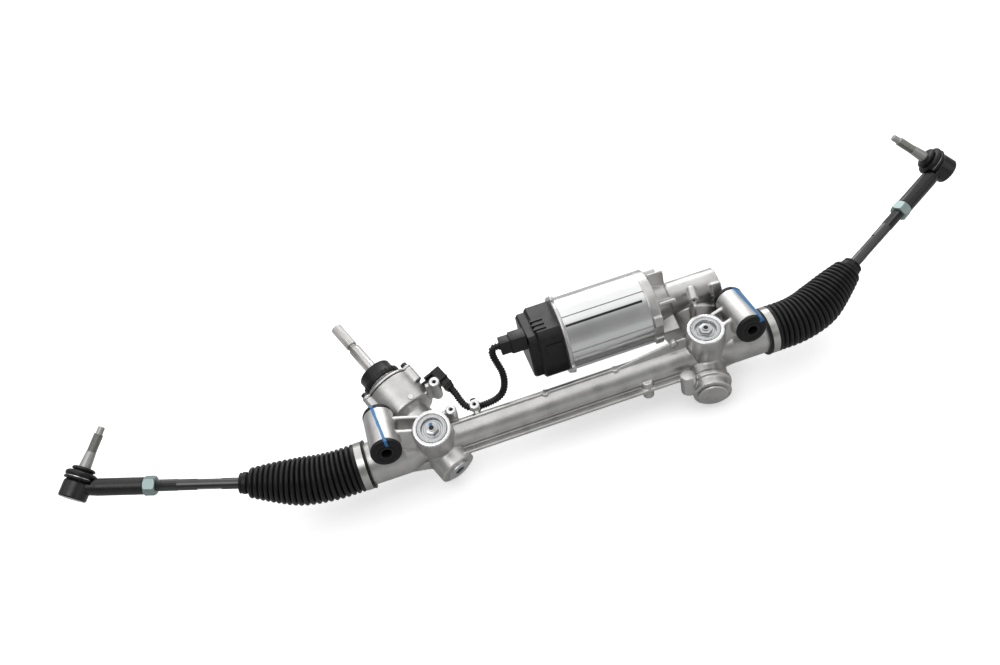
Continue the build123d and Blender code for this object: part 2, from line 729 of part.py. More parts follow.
def steering_bosses():
    """The screw bosses and the lead's clip boss, each with a web back to the casting."""
    body = None
    for x, y, foot, top, turn in STEERING_BOSSES:
        here = beside(LEFT_YOKE, x, y)
        boss = bar(here, foot, top, BOSS_RADIUS)
        web = Pos(BOSS_WEB / 2, 0, (foot + top) / 2 - 2) * Box(BOSS_WEB, WEB_THICK, top - foot - 4)
        boss += here * (Rot(0, 0, turn) * web)
        boss -= bar(here, top - BOSS_HOLE_DEPTH, top, BOSS_HOLE_RADIUS)
        body = boss if body is None else body + boss
    return body


def assist_bosses():
    """The stops, lugs and ribs about the assist tower."""
    foot = -ASSIST_FOOT + 14
    body = upright(LOWER_BOSS_X, LOWER_BOSS_Y, LOWER_BOSS_TOP, LOWER_BOSS_RADIUS, LOWER_BOSS_FOOT)
    body += upright(STUB_X, STUB_Y, 0, STUB_RADIUS, LOWER_BOSS_FOOT)
    body += bar(ASSIST, foot, foot + 8, TOWER_RADIUS + 3)
    lug = beside(ASSIST, TOP_LUG_X, TOP_LUG_Y)
    body += bar(lug, GEAR_SPLIT - LUG_LENGTH, GEAR_SPLIT - SMALL_GAP, BOSS_RADIUS)
    body += block(ASSIST, (TOP_LUG_X, FIN_THICK, LUG_LENGTH), (TOP_LUG_X / 2, TOP_LUG_Y, FIN_MIDDLE))
    return body - bar(lug, GEAR_SPLIT - LUG_LENGTH, GEAR_SPLIT, BOSS_HOLE_RADIUS)


def gear_screw_places():
    """The screws that hold the gear cover and the gear housing to the assist tower."""
    places = []
    for turn in GEAR_LUGS:
        x, y = on_circle(CHAMBER_RADIUS + GEAR_WALL + 2, radians(turn))
        places.append(beside(ASSIST, x, y))
    return places


def gear_housing():
    """The casting round the worm wheel, with the worm's tube and the motor's seat."""
    body = bar(ASSIST, GEAR_SPLIT, GEAR_TOP, CHAMBER_RADIUS + GEAR_WALL)
    seat_end = MOTOR_END + GEAR_MOUNT
    body += bar(MOTOR, MOTOR_END, seat_end, MOTOR_RADIUS)
    body += cone(MOTOR, seat_end, GEAR_NECK, NECK_RADIUS, WORM_TUBE_RADIUS + 2)
    length = GEAR_NECK + RIB_REACH - seat_end
    rib = (NECK_RADIUS, RIB_THICK, length)
    for turn in NECK_RIBS:
        body += radial_block(MOTOR, turn, NECK_RADIUS, rib, seat_end + length / 2)
    body += bar(MOTOR, seat_end, WORM_TUBE_END, WORM_TUBE_RADIUS)
    for turn in COLLAR_LUGS:
        body += radial_block(MOTOR, turn, MOTOR_RADIUS, COLLAR_LUG, seat_end - COLLAR_LUG[2] / 2)
    middle = WORM_TUBE_END - END_PAD[2] / 2
    body += radial_block(MOTOR, END_PAD_TURN, WORM_TUBE_RADIUS, END_PAD, middle)
    for place in gear_screw_places():
        body += bar(place, GEAR_SPLIT, GEAR_TOP, GEAR_LUG_RADIUS)
    flange = CHAMBER_RADIUS + GEAR_WALL + SMALL_GAP
    body -= bar(ASSIST, GEAR_SPLIT - GEAR_FLANGE - GEAR_SPREAD, GEAR_SPLIT, flange)
    body -= bar(ASSIST, GEAR_SPLIT, WHEEL_AT, ASSIST_BEARING_RADIUS)
    floor = WHEEL_AT - WHEEL_FACE / 2 - GEAR_CLEARANCE
    body -= bar(ASSIST, floor, GEAR_TOP, CHAMBER_RADIUS)
    body -= bar(MOTOR, MOTOR_END, COUPLING_END + 2, COUPLING_ROOM)
    body -= bar(MOTOR, COUPLING_END, WORM_TUBE_END, WORM_BORE)
    for place in gear_screw_places():
        body -= bar(place, GEAR_SPLIT, GEAR_TOP, SCREW_RADIUS + SMALL_GAP)
    return body


def gear_cover():
    """The cover over the worm wheel, with the assist pinion's last bearing seat."""
    top = GEAR_TOP + COVER_THICK
    body = bar(ASSIST, GEAR_TOP, top, CHAMBER_RADIUS + GEAR_WALL)
    body += bar(ASSIST, GEAR_TOP, GEAR_TOP + COVER_BOSS_HEIGHT, ASSIST_BEARING_RADIUS + GEAR_WALL)
    for place in gear_screw_places():
        body += bar(place, GEAR_TOP, top, GEAR_LUG_RADIUS)
        body -= bar(place, GEAR_TOP, top, SCREW_RADIUS + SMALL_GAP)
    seat = GEAR_TOP + BEARING_WIDTH
    body -= bar(ASSIST, GEAR_TOP, seat, ASSIST_BEARING_RADIUS)
    neck = MOTOR_END + GEAR_MOUNT
    around = WORM_TUBE_RADIUS + SMALL_GAP
    body -= bar(MOTOR, neck, WORM_TUBE_END, around)
    return body - bar(MOTOR, neck, GEAR_NECK + RIB_REACH, MOTOR_RADIUS + SMALL_GAP)


def sensor_cover():
    """The cover that closes the sensor bell, with a lug for each of its screws."""
    top = BELL_TOP + COVER_HEIGHT
    bore = SHAFT_RADIUS + BEARING_WALL - 2
    body = turned(
        STEERING,
        (bore, BELL_TOP),
        (BELL_RADIUS, BELL_TOP),
        (BELL_RADIUS, BELL_TOP + 4),
        (COVER_NECK_RADIUS, top - 3),
        (COVER_NECK_RADIUS, top),
        (bore, top),
    )
    for place in cover_screw_places():
        body += bar(place, 0, LUG_CAP, COVER_LUG_RADIUS)
        body -= bar(place, LUG_CAP, LUG_CAP + 20, SCREW_HEAD_RADIUS + SMALL_GAP)
        body -= bar(place, 0, LUG_CAP, SCREW_RADIUS + SMALL_GAP)
    return body


def dust_cap():
    """The ribbed plastic cap that seals the input shaft."""
    foot = BELL_TOP + COVER_HEIGHT
    step = foot + CAP_SKIRT_HEIGHT
    top = step + CAP_RING_HEIGHT
    lip = SHAFT_RADIUS + SMALL_GAP
    body = turned(
        STEERING,
        (COVER_NECK_RADIUS - 5, foot),
        (CAP_SKIRT_RADIUS, foot),
        (CAP_SKIRT_RADIUS, step),
        (CAP_RING_RADIUS, step),
        (CAP_RING_RADIUS, top),
        (CAP_RING_RADIUS - 4, top),
        (lip + 4, top - 5),
        (lip, top - 5),
        (lip, top - 8),
        (CAP_RING_RADIUS - 5, top - 8),
        (CAP_RING_RADIUS - 5, foot + 3),
    )
    return body


def screw(plane, foot):
    """A flanged cap screw: its head stands on a plane and its shank reaches down."""
    body = bar(plane, foot, 0, SCREW_RADIUS)
    body += bar(plane, 0, 1.5, SCREW_HEAD_RADIUS)
    body += hexagon(plane, 0, SCREW_HEAD_HEIGHT, SCREW_HEAD_RADIUS * 1.7)
    return body


def sensor_screws():
    screws = []
    for place in cover_screw_places():
        head = Plane(
            origin=place.origin + place.z_dir * LUG_CAP, x_dir=place.x_dir, z_dir=place.z_dir
        )
        screws.append(screw(head, -SCREW_LENGTH - LUG_CAP + 1))
    return screws


def gear_screws():
    screws = []
    top = GEAR_TOP + COVER_THICK
    reach = top - GEAR_SPLIT
    for place in gear_screw_places():
        head = Plane(origin=place.origin + place.z_dir * top, x_dir=place.x_dir, z_dir=place.z_dir)
        screws.append(screw(head, -reach - GEAR_FLANGE + 1))
    return screws


def steering_bearings():
    """The steering pinion's two ball bearings and the input shaft's needle bearing."""
    inner = STEERING_JOURNAL + RUNNING_FIT
    outer = STEERING_BEARING_RADIUS
    low = -BEARING_AT - BEARING_WIDTH
    neck = SHAFT_RADIUS + BEARING_WALL - 2
    return [
        ring(STEERING, low, -BEARING_AT, outer, inner),
        ring(STEERING, BEARING_AT, BEARING_AT + BEARING_WIDTH, outer, inner),
        ring(STEERING, BELL_TOP, BELL_TOP + COVER_HEIGHT, neck, SHAFT_RADIUS + RUNNING_FIT),
    ]


def assist_bearings():
    inner = ASSIST_JOURNAL + RUNNING_FIT
    outer = ASSIST_BEARING_RADIUS
    starts = (-BEARING_AT - BEARING_WIDTH, BEARING_AT, GEAR_TOP)
    return [ring(ASSIST, s, s + BEARING_WIDTH, outer, inner) for s in starts]


def worm_bearings():
    inner = MOTOR_SHAFT_RADIUS + RUNNING_FIT
    width = WORM_BEARING_WIDTH
    starts = (-WORM_BEARING_AT - width, WORM_BEARING_AT)
    return [ring(WORM, s, s + width, WORM_BEARING_RADIUS, inner) for s in starts]


def worm_plug():
    """The threaded plug that closes the worm's tube and loads its outer bearing."""
    start = WORM_CENTRE.X + WORM_BEARING_AT + WORM_BEARING_WIDTH
    body = bar(MOTOR, start, WORM_TUBE_END, WORM_BEARING_RADIUS)
    body -= bar(MOTOR, start, start + 1, MOTOR_SHAFT_RADIUS + 2)
    return body - hexagon(MOTOR, WORM_TUBE_END - 3, WORM_TUBE_END, 12)


def steering_plug():
    """The plug below the steering pinion's lower bearing."""
    seat = BEARING_AT + BEARING_WIDTH
    body = bar(STEERING, -TOWER_FOOT, -seat, STEERING_BEARING_RADIUS)
    body += bar(STEERING, -TOWER_FOOT - 3, -TOWER_FOOT, STEERING_BEARING_RADIUS + 3)
    body -= bar(STEERING, -PINION_FOOT - 1, -seat, STEERING_JOURNAL + 2)
    body -= hexagon(STEERING, -TOWER_FOOT - 3, -TOWER_FOOT, 14)
    return body


def assist_plug():
    """The plug below the assist pinion's lower bearing."""
    seat = BEARING_AT + BEARING_WIDTH
    body = bar(ASSIST, -ASSIST_FOOT, -seat, ASSIST_BEARING_RADIUS)
    body += bar(ASSIST, -ASSIST_FOOT - 4, -ASSIST_FOOT, ASSIST_BEARING_RADIUS + 5)
    body -= bar(ASSIST, -PINION_FOOT - 1, -seat, ASSIST_JOURNAL + 2)
    return body


def steering_pinion():
    """The steering pinion, bored for the torsion bar."""
    body = pinion(STEERING, LEFT_TEETH, STEERING_JOURNAL, PINION_TOP, PINION_FOOT)
    return body - bar(STEERING, FACE_HALF + 4, PINION_TOP, TORSION_RADIUS + RUNNING_FIT)


def torsion_bar():
    return bar(STEERING, FACE_HALF + 4, TORSION_TOP, TORSION_RADIUS)


def splined_section(radius):
    """The section of a splined shaft: a disc with a V cut at each spline."""
    section = Circle(radius).face()
    pitch = 2 * pi / SPLINE_COUNT
    half = pitch * SPLINE_CUT / 2
    for tooth in range(SPLINE_COUNT):
        middle = pitch * tooth
        groove = Polyline(
            on_circle(radius - SPLINE_DEPTH, middle),
            on_circle(radius + SPLINE_DEPTH, middle + 2 * half),
            on_circle(radius + SPLINE_DEPTH, middle - 2 * half),
            close=True,
        )
        section -= make_face(groove)
    return section


def splined(start, length, radius):
    """A splined length of the input shaft."""
    section = splined_section(radius)
    return STEERING * (Pos(0, 0, start) * extrude(section, length))


def input_shaft():
    """The input shaft, splined for the steering column's joint, with its clamp groove."""
    foot = PINION_TOP + 1
    groove_end = SHAFT_TIP - SPLINE_LENGTH
    groove = groove_end - CLAMP_GROOVE_WIDTH
    lower_end = LOWER_SPLINE_AT + LOWER_SPLINE_LENGTH
    body = bar(STEERING, foot, LOWER_SPLINE_AT, SHAFT_RADIUS)
    body += splined(LOWER_SPLINE_AT, LOWER_SPLINE_LENGTH, SHAFT_RADIUS)
    body += bar(STEERING, lower_end, groove, SHAFT_RADIUS)
    body += bar(STEERING, groove, groove_end, SPLINE_RADIUS - CLAMP_GROOVE_DEPTH)
    body += splined(groove_end, SPLINE_LENGTH, SPLINE_RADIUS)
    body -= bar(STEERING, foot, TORSION_TOP + 1, TORSION_RADIUS + RUNNING_FIT)
    return body


def torque_sensor():
    """The torque sensor's ring, which sits in the bell round the input shaft."""
    outer = BELL_RADIUS - BELL_WALL
    return ring(STEERING, SENSOR_AT, SENSOR_AT + SENSOR_WIDTH, outer, SHAFT_RADIUS + 3)


def yoke(plane, top):
    """A sprung yoke, hollowed to the rack bar on its front face."""
    back = top - YOKE_PLUG_HEIGHT - YOKE_SPRING
    body = bar(plane, YOKE_FRONT, back, YOKE_RADIUS - RUNNING_FIT)
    return body - bar(rack_axis(plane.origin.X - 40), 0, 80, RACK_RADIUS + YOKE_GAP)


def yoke_spring(plane, top):
    """A conical spring washer between a yoke and its plug."""
    seat = top - YOKE_PLUG_HEIGHT
    foot = seat - YOKE_SPRING
    return turned(
        plane,
        (YOKE_RADIUS - 2, foot),
        (YOKE_RADIUS - 2, foot + 1.6),
        (YOKE_STUD_RADIUS + 2, seat),
        (YOKE_STUD_RADIUS + 2, seat - 1.6),
    )


def yoke_plug(plane, top):
    """The threaded plug that loads a yoke, with spanner notches and its centre stud."""
    outer = YOKE_PLUG_RADIUS - RUNNING_FIT
    foot = top - YOKE_PLUG_HEIGHT
    body = bar(plane, foot, top - 1, outer)
    body -= bar(plane, top - YOKE_RECESS_DEPTH, top, YOKE_RECESS_RADIUS)
    for step in range(PLUG_NOTCHES):
        turn = Rot(0, 0, 360 * step / PLUG_NOTCHES)
        notch = Pos(YOKE_RECESS_RADIUS, 0, top - 1) * Box(3, 1.4, 2.5)
        body -= plane * (turn * notch)
    body += bar(plane, top - YOKE_RECESS_DEPTH, top + STUD_PROUD, YOKE_STUD_RADIUS)
    return body


def yoke_nut(plane, top):
    seat = top - YOKE_RECESS_DEPTH
    body = bar(plane, seat, seat + 1.5, YOKE_NUT_FLATS * 0.72)
    body += hexagon(plane, seat, seat + YOKE_NUT_HEIGHT, YOKE_NUT_FLATS)
    return body - bar(plane, seat, seat + YOKE_NUT_HEIGHT, YOKE_STUD_RADIUS + RUNNING_FIT)


def rack_bush(side):
    start = side * BUSH_AT
    span = sorted((start, side * (BUSH_AT + BUSH_LENGTH)))
    return ring(rack_axis(), *span, RACK_RADIUS + BUSH_THICK, RACK_RADIUS + RUNNING_FIT)


def mount_bush(side):
    """The rubber bush in a mounting eye, with a lip at each end."""
    half = EYE_LENGTH / 2
    plane = eye_plane(side)
    body = ring(plane, -half, half, EYE_RADIUS - EYE_WALL, MOUNT_SLEEVE_RADIUS)
    for start in (-half - BUSH_LIP, half):
        lip = ring(plane, start, start + BUSH_LIP, BUSH_LIP_RADIUS, MOUNT_SLEEVE_RADIUS)
        body += lip
    return body


def mount_sleeve(side):
    half = EYE_LENGTH / 2 + BUSH_LIP
    return ring(eye_plane(side), -half, half, MOUNT_SLEEVE_RADIUS, MOUNT_BOLT_RADIUS)


def motor_housing():
    """The extruded motor barrel, with grooves along it and an end wall at the gear side."""
    start = MOTOR_START + MOTOR_FLANGE
    body = bar(MOTOR, start, MOTOR_END, MOTOR_RADIUS)
    body -= bar(MOTOR, start, MOTOR_END - MOTOR_WALL, MOTOR_RADIUS - MOTOR_WALL)
    body -= bar(MOTOR, start, MOTOR_END, MOTOR_SEAT_RADIUS)
    length = MOTOR_END - start
    for turn, width in MOTOR_GROOVES:
        groove = Pos(MOTOR_RADIUS, 0, start + length / 2) * Box(2 * GROOVE_DEPTH, width, length)
        body -= MOTOR * (Rot(0, 0, turn) * groove)
    return body


def motor_flange():
    """The machined plate between the motor and its controller."""
    end = MOTOR_START + MOTOR_FLANGE
    body = bar(MOTOR, MOTOR_START, end, MOTOR_FLANGE_RADIUS)
    for turn in MOTOR_LUGS:
        x, y = on_circle(MOTOR_FLANGE_RADIUS, radians(turn))
        body += bar(beside(MOTOR, x, y), MOTOR_START, end, GEAR_LUG_RADIUS)
    return body - bar(MOTOR, MOTOR_START, end, MOTOR_SEAT_RADIUS)


def motor_bearings():
    """A ball bearing in the flange and one in the barrel's end wall."""
    inner = MOTOR_SHAFT_RADIUS + RUNNING_FIT
    outer = MOTOR_SEAT_RADIUS
    end = MOTOR_START + MOTOR_FLANGE
    return [
        ring(MOTOR, MOTOR_START, end, outer, inner),
        ring(MOTOR, MOTOR_END - MOTOR_WALL, MOTOR_END, outer, inner),
    ]


def motor_stator():
    outer = MOTOR_RADIUS - MOTOR_WALL
    start = MOTOR_START + MOTOR_FLANGE + STATOR_GAP
    return ring(MOTOR, start, MOTOR_END - MOTOR_WALL - STATOR_GAP, outer, outer - STATOR_THICK)


def motor_rotor():
    """The rotor on its shaft, which ends in the worm's coupling."""
    start = MOTOR_START + MOTOR_FLANGE + STATOR_GAP
    body = bar(MOTOR, start, MOTOR_END - MOTOR_WALL - STATOR_GAP, ROTOR_RADIUS)
    return body + bar(MOTOR, MOTOR_START + 1, COUPLING_START, MOTOR_SHAFT_RADIUS)


def worm_coupling():
    """The coupling that joins the motor's shaft to the worm's."""
    return bar(MOTOR, COUPLING_START, COUPLING_END + 1.5, COUPLING_ROOM - 5)


def ecu_box(start, end, half, radius):
    """A square box with rounded corners, bevelled round its outer face, on the motor's axis."""
    face = (Rectangle(2 * half, 2 * half) & Circle(radius)).face()
    body = Pos(0, 0, start) * extrude(face, end - start)
    outer = body.faces().sort_by(Axis.Z)[0]
    return MOTOR * chamfer(outer.edges(), ECU_EDGE)


def ecu_cover():
    """The controller's moulded cover on the end of the motor, stepped, with fins and a pad."""
    start = MOTOR_START - ECU_LENGTH
    inset = ECU_HALF - ECU_END_HALF
    body = ecu_box(start + ECU_STEP, MOTOR_START, ECU_HALF, ECU_RADIUS)
    body += ecu_box(start, MOTOR_START, ECU_END_HALF, ECU_RADIUS - inset)
    width, rise, length = ECU_FIN
    for y in ECU_FINS:
        place = (y, ECU_HALF + rise / 2 - ECU_EDGE, start + ECU_STEP + length / 2)
        body += block(MOTOR, (width, rise + ECU_EDGE, length), place)
    proud, height, length = ECU_PAD
    middle = MOTOR_START - ECU_EDGE - length / 2
    body += block(MOTOR, (2 * proud, height, length), (-ECU_HALF, ECU_PAD_RISE, middle))
    return body


def ecu_plug():
    """The lead's plug on the controller's face."""
    start = MOTOR_START - ECU_LENGTH
    length, height, width = ECU_PLUG
    centre = (ECU_PLUG_Y, ECU_PLUG_Z)
    return Pos(start - length / 2, *centre) * Box(length, width, height)


def sensor_plug():
    """The sensor's plug beside the bell, which reaches down to the lead."""
    body = block(STEERING, (22, 16, 46), (12, 66, 73))
    bridge = block(STEERING, (18, 24, 20), (0, 49, 84))
    bell = bar(STEERING, BELL_START, BELL_TOP, BELL_RADIUS)
    return body + (bridge - bell)


def lead_route():
    """The lead's route from the sensor's plug, over the tube, to the controller's plug."""
    return [
        STEERING.from_local_coords((12, 66, 50)),
        STEERING.from_local_coords((12, 66, 39)),
        Vector(-146.0, 47.5, 16.0),
        Vector(-141.0, 39.5, 10.0),
        Vector(-132.5, 34.0, 7.5),
        Vector(-121.0, 30.5, 9.5),
        Vector(-108.0, 28.0, 12.5),
        Vector(-96.0, 27.0, 16.5),
        Vector(-86.5, 27.5, 23.5),
        Vector(-80.5, 31.0, 35.0),
        Vector(-78.5, 36.5, 49.5),
        Vector(-81.5, 43.0, 63.5),
        Vector(-84.0, 48.0, 75.0),
        Vector(MOTOR_START - ECU_LENGTH - ECU_PLUG[0] - 11, ECU_PLUG_Y, ECU_PLUG_Z + 1),
        Vector(MOTOR_START - ECU_LENGTH - ECU_PLUG[0], ECU_PLUG_Y, ECU_PLUG_Z + 1),
    ]


def sensor_lead():
    """The lead in its conduit: straight runs joined by arcs as large as the runs allow."""
    points = lead_route()
    radii = []
    for before, here, after in zip(points, points[1:], points[2:]):
        half_turn = radians((here - before).get_angle(after - here) / 2)
        shorter = min((here - before).length, (after - here).length)
        radii.append(TURN_SHARE * shorter / tan(half_turn))
    path = FilletPolyline(*points, radius=radii)
    start = Plane(origin=path @ 0, z_dir=path % 0)
    return sweep(start * Circle(LEAD_RADIUS), path)


def lead_clip():
    """The clip that hangs the lead from its boss on the casting."""
    points = lead_route()
    here, after = points[4], points[5]
    plane = Plane(origin=(here + after) * 0.5, z_dir=(after - here).normalized())
    body = ring(plane, -4, 4, LEAD_RADIUS + 2, LEAD_RADIUS + SMALL_GAP)
    x, y, foot, top, turn = STEERING_BOSSES[2]
    boss = beside(LEFT_YOKE, x, y)
    side = BOSS_RADIUS + SMALL_GAP
    body += block(boss, (8, 2.5, top + 2 - CLIP_FOOT), (0, side + 1.25, (top + 2 + CLIP_FOOT) / 2))
    body += block(boss, (8, side + 6, 2), (0, side / 2 - 0.5, top + 1))
    return body


def stud_plane(tie):
    """The ball stud's own frame at the outer ball: Z runs up the stud."""
    lean = radians(END_STUD_LEAN)
    return Plane(
        origin=tie.origin + tie.x_dir * TIE_LENGTH,
        x_dir=tie.x_dir * cos(lean) + tie.z_dir * sin(lean),
        z_dir=tie.z_dir * cos(lean) - tie.x_dir * sin(lean),
    )


def along_tie(tie):
    """A frame at the inner ball whose Z runs outwards along the rod."""
    return Plane(origin=tie.origin, x_dir=tie.z_dir, z_dir=tie.x_dir)


def ball(plane, radius):
    return plane * Sphere(radius)


def inner_socket(side):
    """The housing of an inner ball joint, screwed to the rack bar's end."""
    centre = side * INNER_BALL_X
    outwards = Plane(origin=(centre, 0, 0), x_dir=(0, 1, 0), z_dir=(side, 0, 0))
    foot = RACK_LENGTH / 2 - INNER_BALL_X
    body = turned(
        outwards,
        (0, foot),
        (INNER_SOCKET_RADIUS - 2, foot),
        (INNER_SOCKET_RADIUS, foot + 2),
        (INNER_SOCKET_RADIUS, SOCKET_LIP - 4),
        (INNER_SOCKET_RADIUS - 3, SOCKET_LIP),
        (0, SOCKET_LIP),
    )
    body -= ball(outwards, INNER_BALL_RADIUS + RUNNING_FIT)
    for flat in (-1, 1):
        cut = Pos(0, flat * INNER_SOCKET_RADIUS, foot + 5) * Box(60, 4, 10)
        body -= outwards * cut
    return body - bar(outwards, foot - 1, foot + RACK_SCREW_LENGTH, RACK_SCREW_RADIUS)


def tie_rod(tie):
    """The inner ball and the rod, with a flatted grip and the threaded outer end."""
    rod = along_tie(tie)
    body = ball(rod, INNER_BALL_RADIUS)
    body += turned(
        rod,
        (0, 0),
        (ROD_NECK, 0),
        (ROD_NECK, 22),
        (TIE_RADIUS, 30),
        (TIE_RADIUS, ROD_END_AT),
        (0, ROD_END_AT),
    )
    for flat in (-1, 1):
        cut = Pos(flat * TIE_RADIUS, 0, GRIP_AT) * Box(2 * GRIP_DEPTH, 20, GRIP_LENGTH)
        body -= rod * cut
    return body


def jam_nut(tie):
    rod = along_tie(tie)
    body = hexagon(rod, NUT_AT, NUT_AT + JAM_NUT_LENGTH, JAM_NUT_FLATS)
    body &= turned(
        rod,
        (0, NUT_AT),
        (JAM_NUT_FLATS * 0.5, NUT_AT),
        (JAM_NUT_FLATS * 0.58, NUT_AT + 2),
        (JAM_NUT_FLATS * 0.58, NUT_AT + JAM_NUT_LENGTH - 2),
        (JAM_NUT_FLATS * 0.5, NUT_AT + JAM_NUT_LENGTH),
        (0, NUT_AT + JAM_NUT_LENGTH),
    )
    return body - bar(rod, NUT_AT, NUT_AT + JAM_NUT_LENGTH, TIE_RADIUS)


def rod_end(tie):
    """The outer joint's forging: a threaded shank and a socket set across it."""
    rod = along_tie(tie)
    stud = stud_plane(tie)
    foot = END_SOCKET_TOP - END_SOCKET_HEIGHT
    start = TIE_LENGTH - SHANK_LENGTH
    body = turned(
        rod,
        (0, start),
        (SHANK_RADIUS - 1, start),
        (SHANK_RADIUS, start + 1.5),
        (SHANK_RADIUS, TIE_LENGTH - 30),
        (SHANK_RADIUS - 1.5, TIE_LENGTH - 8),
        (0, TIE_LENGTH - 8),
    )
    body -= bar(stud, END_SOCKET_TOP - 2, END_SOCKET_TOP + 30, END_BOOT_RADIUS + 2)
    body += turned(
        stud,
        (0, foot),
        (END_SOCKET_RADIUS - 1.5, foot),
        (END_SOCKET_RADIUS, foot + 2),
        (END_SOCKET_RADIUS, END_SOCKET_TOP - 3),
        (END_SOCKET_RADIUS - 2.5, END_SOCKET_TOP),
        (0, END_SOCKET_TOP),
    )
    body -= ball(stud, END_BALL_RADIUS + RUNNING_FIT)
    body -= bar(stud, foot, foot + CAP_SEAT, CAP_RADIUS)
    body -= bar(stud, foot, 0, END_BALL_RADIUS - 3)
    return body - bar(rod, start - 1, ROD_END_AT, TIE_RADIUS)


def socket_cap(tie):
    """The pressed disc that closes the bottom of an outer joint."""
    stud = stud_plane(tie)
    foot = END_SOCKET_TOP - END_SOCKET_HEIGHT
    return turned(
        stud,
        (0, foot - 0.8),
        (CAP_RADIUS - 5, foot - 0.8),
        (CAP_RADIUS - 4, foot),
        (CAP_RADIUS - 0.1, foot),
        (CAP_RADIUS - 0.1, foot + CAP_SEAT),
        (0, foot + CAP_SEAT),
    )


def end_boot(tie):
    """The rubber boot between the outer joint and its stud."""
    stud = stud_plane(tie)
    foot = END_SOCKET_TOP
    top = foot + END_BOOT_HEIGHT
    return turned(
        stud,
        (END_SOCKET_RADIUS - 5, foot),
        (END_SOCKET_RADIUS - 2, foot),
        (END_BOOT_RADIUS - 0.5, foot + 3),
        (END_BOOT_RADIUS, foot + 7),
        (END_BOOT_RADIUS - 3, foot + 12),
        (END_BOOT_RADIUS - 7.5, foot + 14),
        (END_BOOT_RADIUS - 5.5, foot + 16),
        (END_BOOT_RADIUS - 5.5, top),
        (STUD_TAPER_RADIUS + SMALL_GAP, top),
        (STUD_TAPER_RADIUS + SMALL_GAP, foot + 14),
        (END_BOOT_RADIUS - 5, foot + 10),
        (END_BOOT_RADIUS - 2.5, foot + 6),
    )


def ball_stud(tie):
    """The outer ball with its neck, taper and thread."""
    stud = stud_plane(tie)
    taper = END_SOCKET_TOP + END_BOOT_HEIGHT + 2
    body = ball(stud, END_BALL_RADIUS)
    body -= bar(stud, -END_BALL_RADIUS, FLAT_BALL, END_BALL_RADIUS)
    body += turned(
        stud,
        (0, 0),
        (STUD_NECK, 0),
        (STUD_NECK, 22),
        (STUD_TAPER_RADIUS, 24),
        (STUD_TAPER_RADIUS, taper),
        (STUD_THREAD_RADIUS + 0.6, taper + 20),
        (STUD_THREAD_RADIUS, taper + 20),
        (STUD_THREAD_RADIUS, STUD_LENGTH - 11),
        (STUD_THREAD_RADIUS - 1.3, STUD_LENGTH - 10),
        (STUD_THREAD_RADIUS - 1.3, STUD_LENGTH - 1),
        (STUD_THREAD_RADIUS - 2.3, STUD_LENGTH),
        (0, STUD_LENGTH),
    )
    return body


def bellows_path(side, tie):
    """The bellows' centre line, from the housing's end to its cuff on the rod."""
    start = Vector(side * HOUSING_END, 0, 0)
    corner = tie.origin
    end = corner + tie.x_dir * BELLOWS_TIP_AT
    half_turn = radians((corner - start).get_angle(end - corner) / 2)
    return FilletPolyline(start, corner, end, radius=BELLOWS_BEND / tan(half_turn))


def bellows_radius(step):
    """The outer radius at one crest or valley: even steps are crests."""
    last = 2 * BELLOWS_FOLDS
    if step == 0:
        return COLLAR_RADIUS + BELLOWS_CUFF_WALL
    share = step / last
    fall = max(0.0, (share - BELLOWS_TAPER_AT) / (1 - BELLOWS_TAPER_AT))
    crest = BELLOWS_RADIUS + (BELLOWS_TIP_RADIUS - BELLOWS_RADIUS) * fall
    depth = BELLOWS_FOLD_DEPTH * (1 - 0.5 * fall)
    return crest if step % 2 == 0 else crest - depth


def bellows_loft(path, thinner):
    sections = []
    last = 2 * BELLOWS_FOLDS
    for step in range(last + 1):
        place = Plane(origin=path @ (step / last), x_dir=(0, 1, 0), z_dir=path % (step / last))
        sections.append(place * Circle(bellows_radius(step) - thinner))
    return loft(sections, ruled=True)


def bellows(side, tie):
    """A rubber bellows that bends from the rack bar's line to the tie rod's."""
    path = bellows_path(side, tie)
    rod = along_tie(tie)
    tip = BELLOWS_TIP_AT
    cuff = sorted((side * HOUSING_END, side * (HOUSING_END - BELLOWS_CUFF)))
    body = bellows_loft(path, 0)
    body -= bellows_loft(path, BELLOWS_WALL)
    body += ring(rack_axis(), *cuff, COLLAR_RADIUS + BELLOWS_CUFF_WALL, COLLAR_RADIUS)
    bore = TIE_RADIUS + SMALL_GAP
    return body + ring(rod, tip, tip + BELLOWS_TIP_CUFF, BELLOWS_TIP_RADIUS, bore)


def large_clamp(side):
    middle = side * (HOUSING_END - CLAMP_AT)
    inner = COLLAR_RADIUS + BELLOWS_CUFF_WALL
    half = CLAMP_WIDTH / 2
    return ring(rack_axis(), middle - half, middle + half, inner + CLAMP_THICK, inner)


def small_clamp(tie):
    """The spring clip on a bellows' cuff at the rod."""
    middle = BELLOWS_TIP_AT + BELLOWS_TIP_CUFF / 2
    inner = BELLOWS_TIP_RADIUS + SMALL_GAP
    return ring(along_tie(tie), middle - 2.5, middle + 2.5, inner + CLAMP_THICK, inner)


def save(name, *pieces):
    """Write one node, lowered so that the origin lies between the mounting eyes."""
    drop = Pos(0, 0, -MOUNT_RISE)
    placed = [drop * piece for piece in pieces]
    shape = placed[0] if len(placed) == 1 else Compound(children=placed)
    export_step(shape, f"parts/{name}.step")


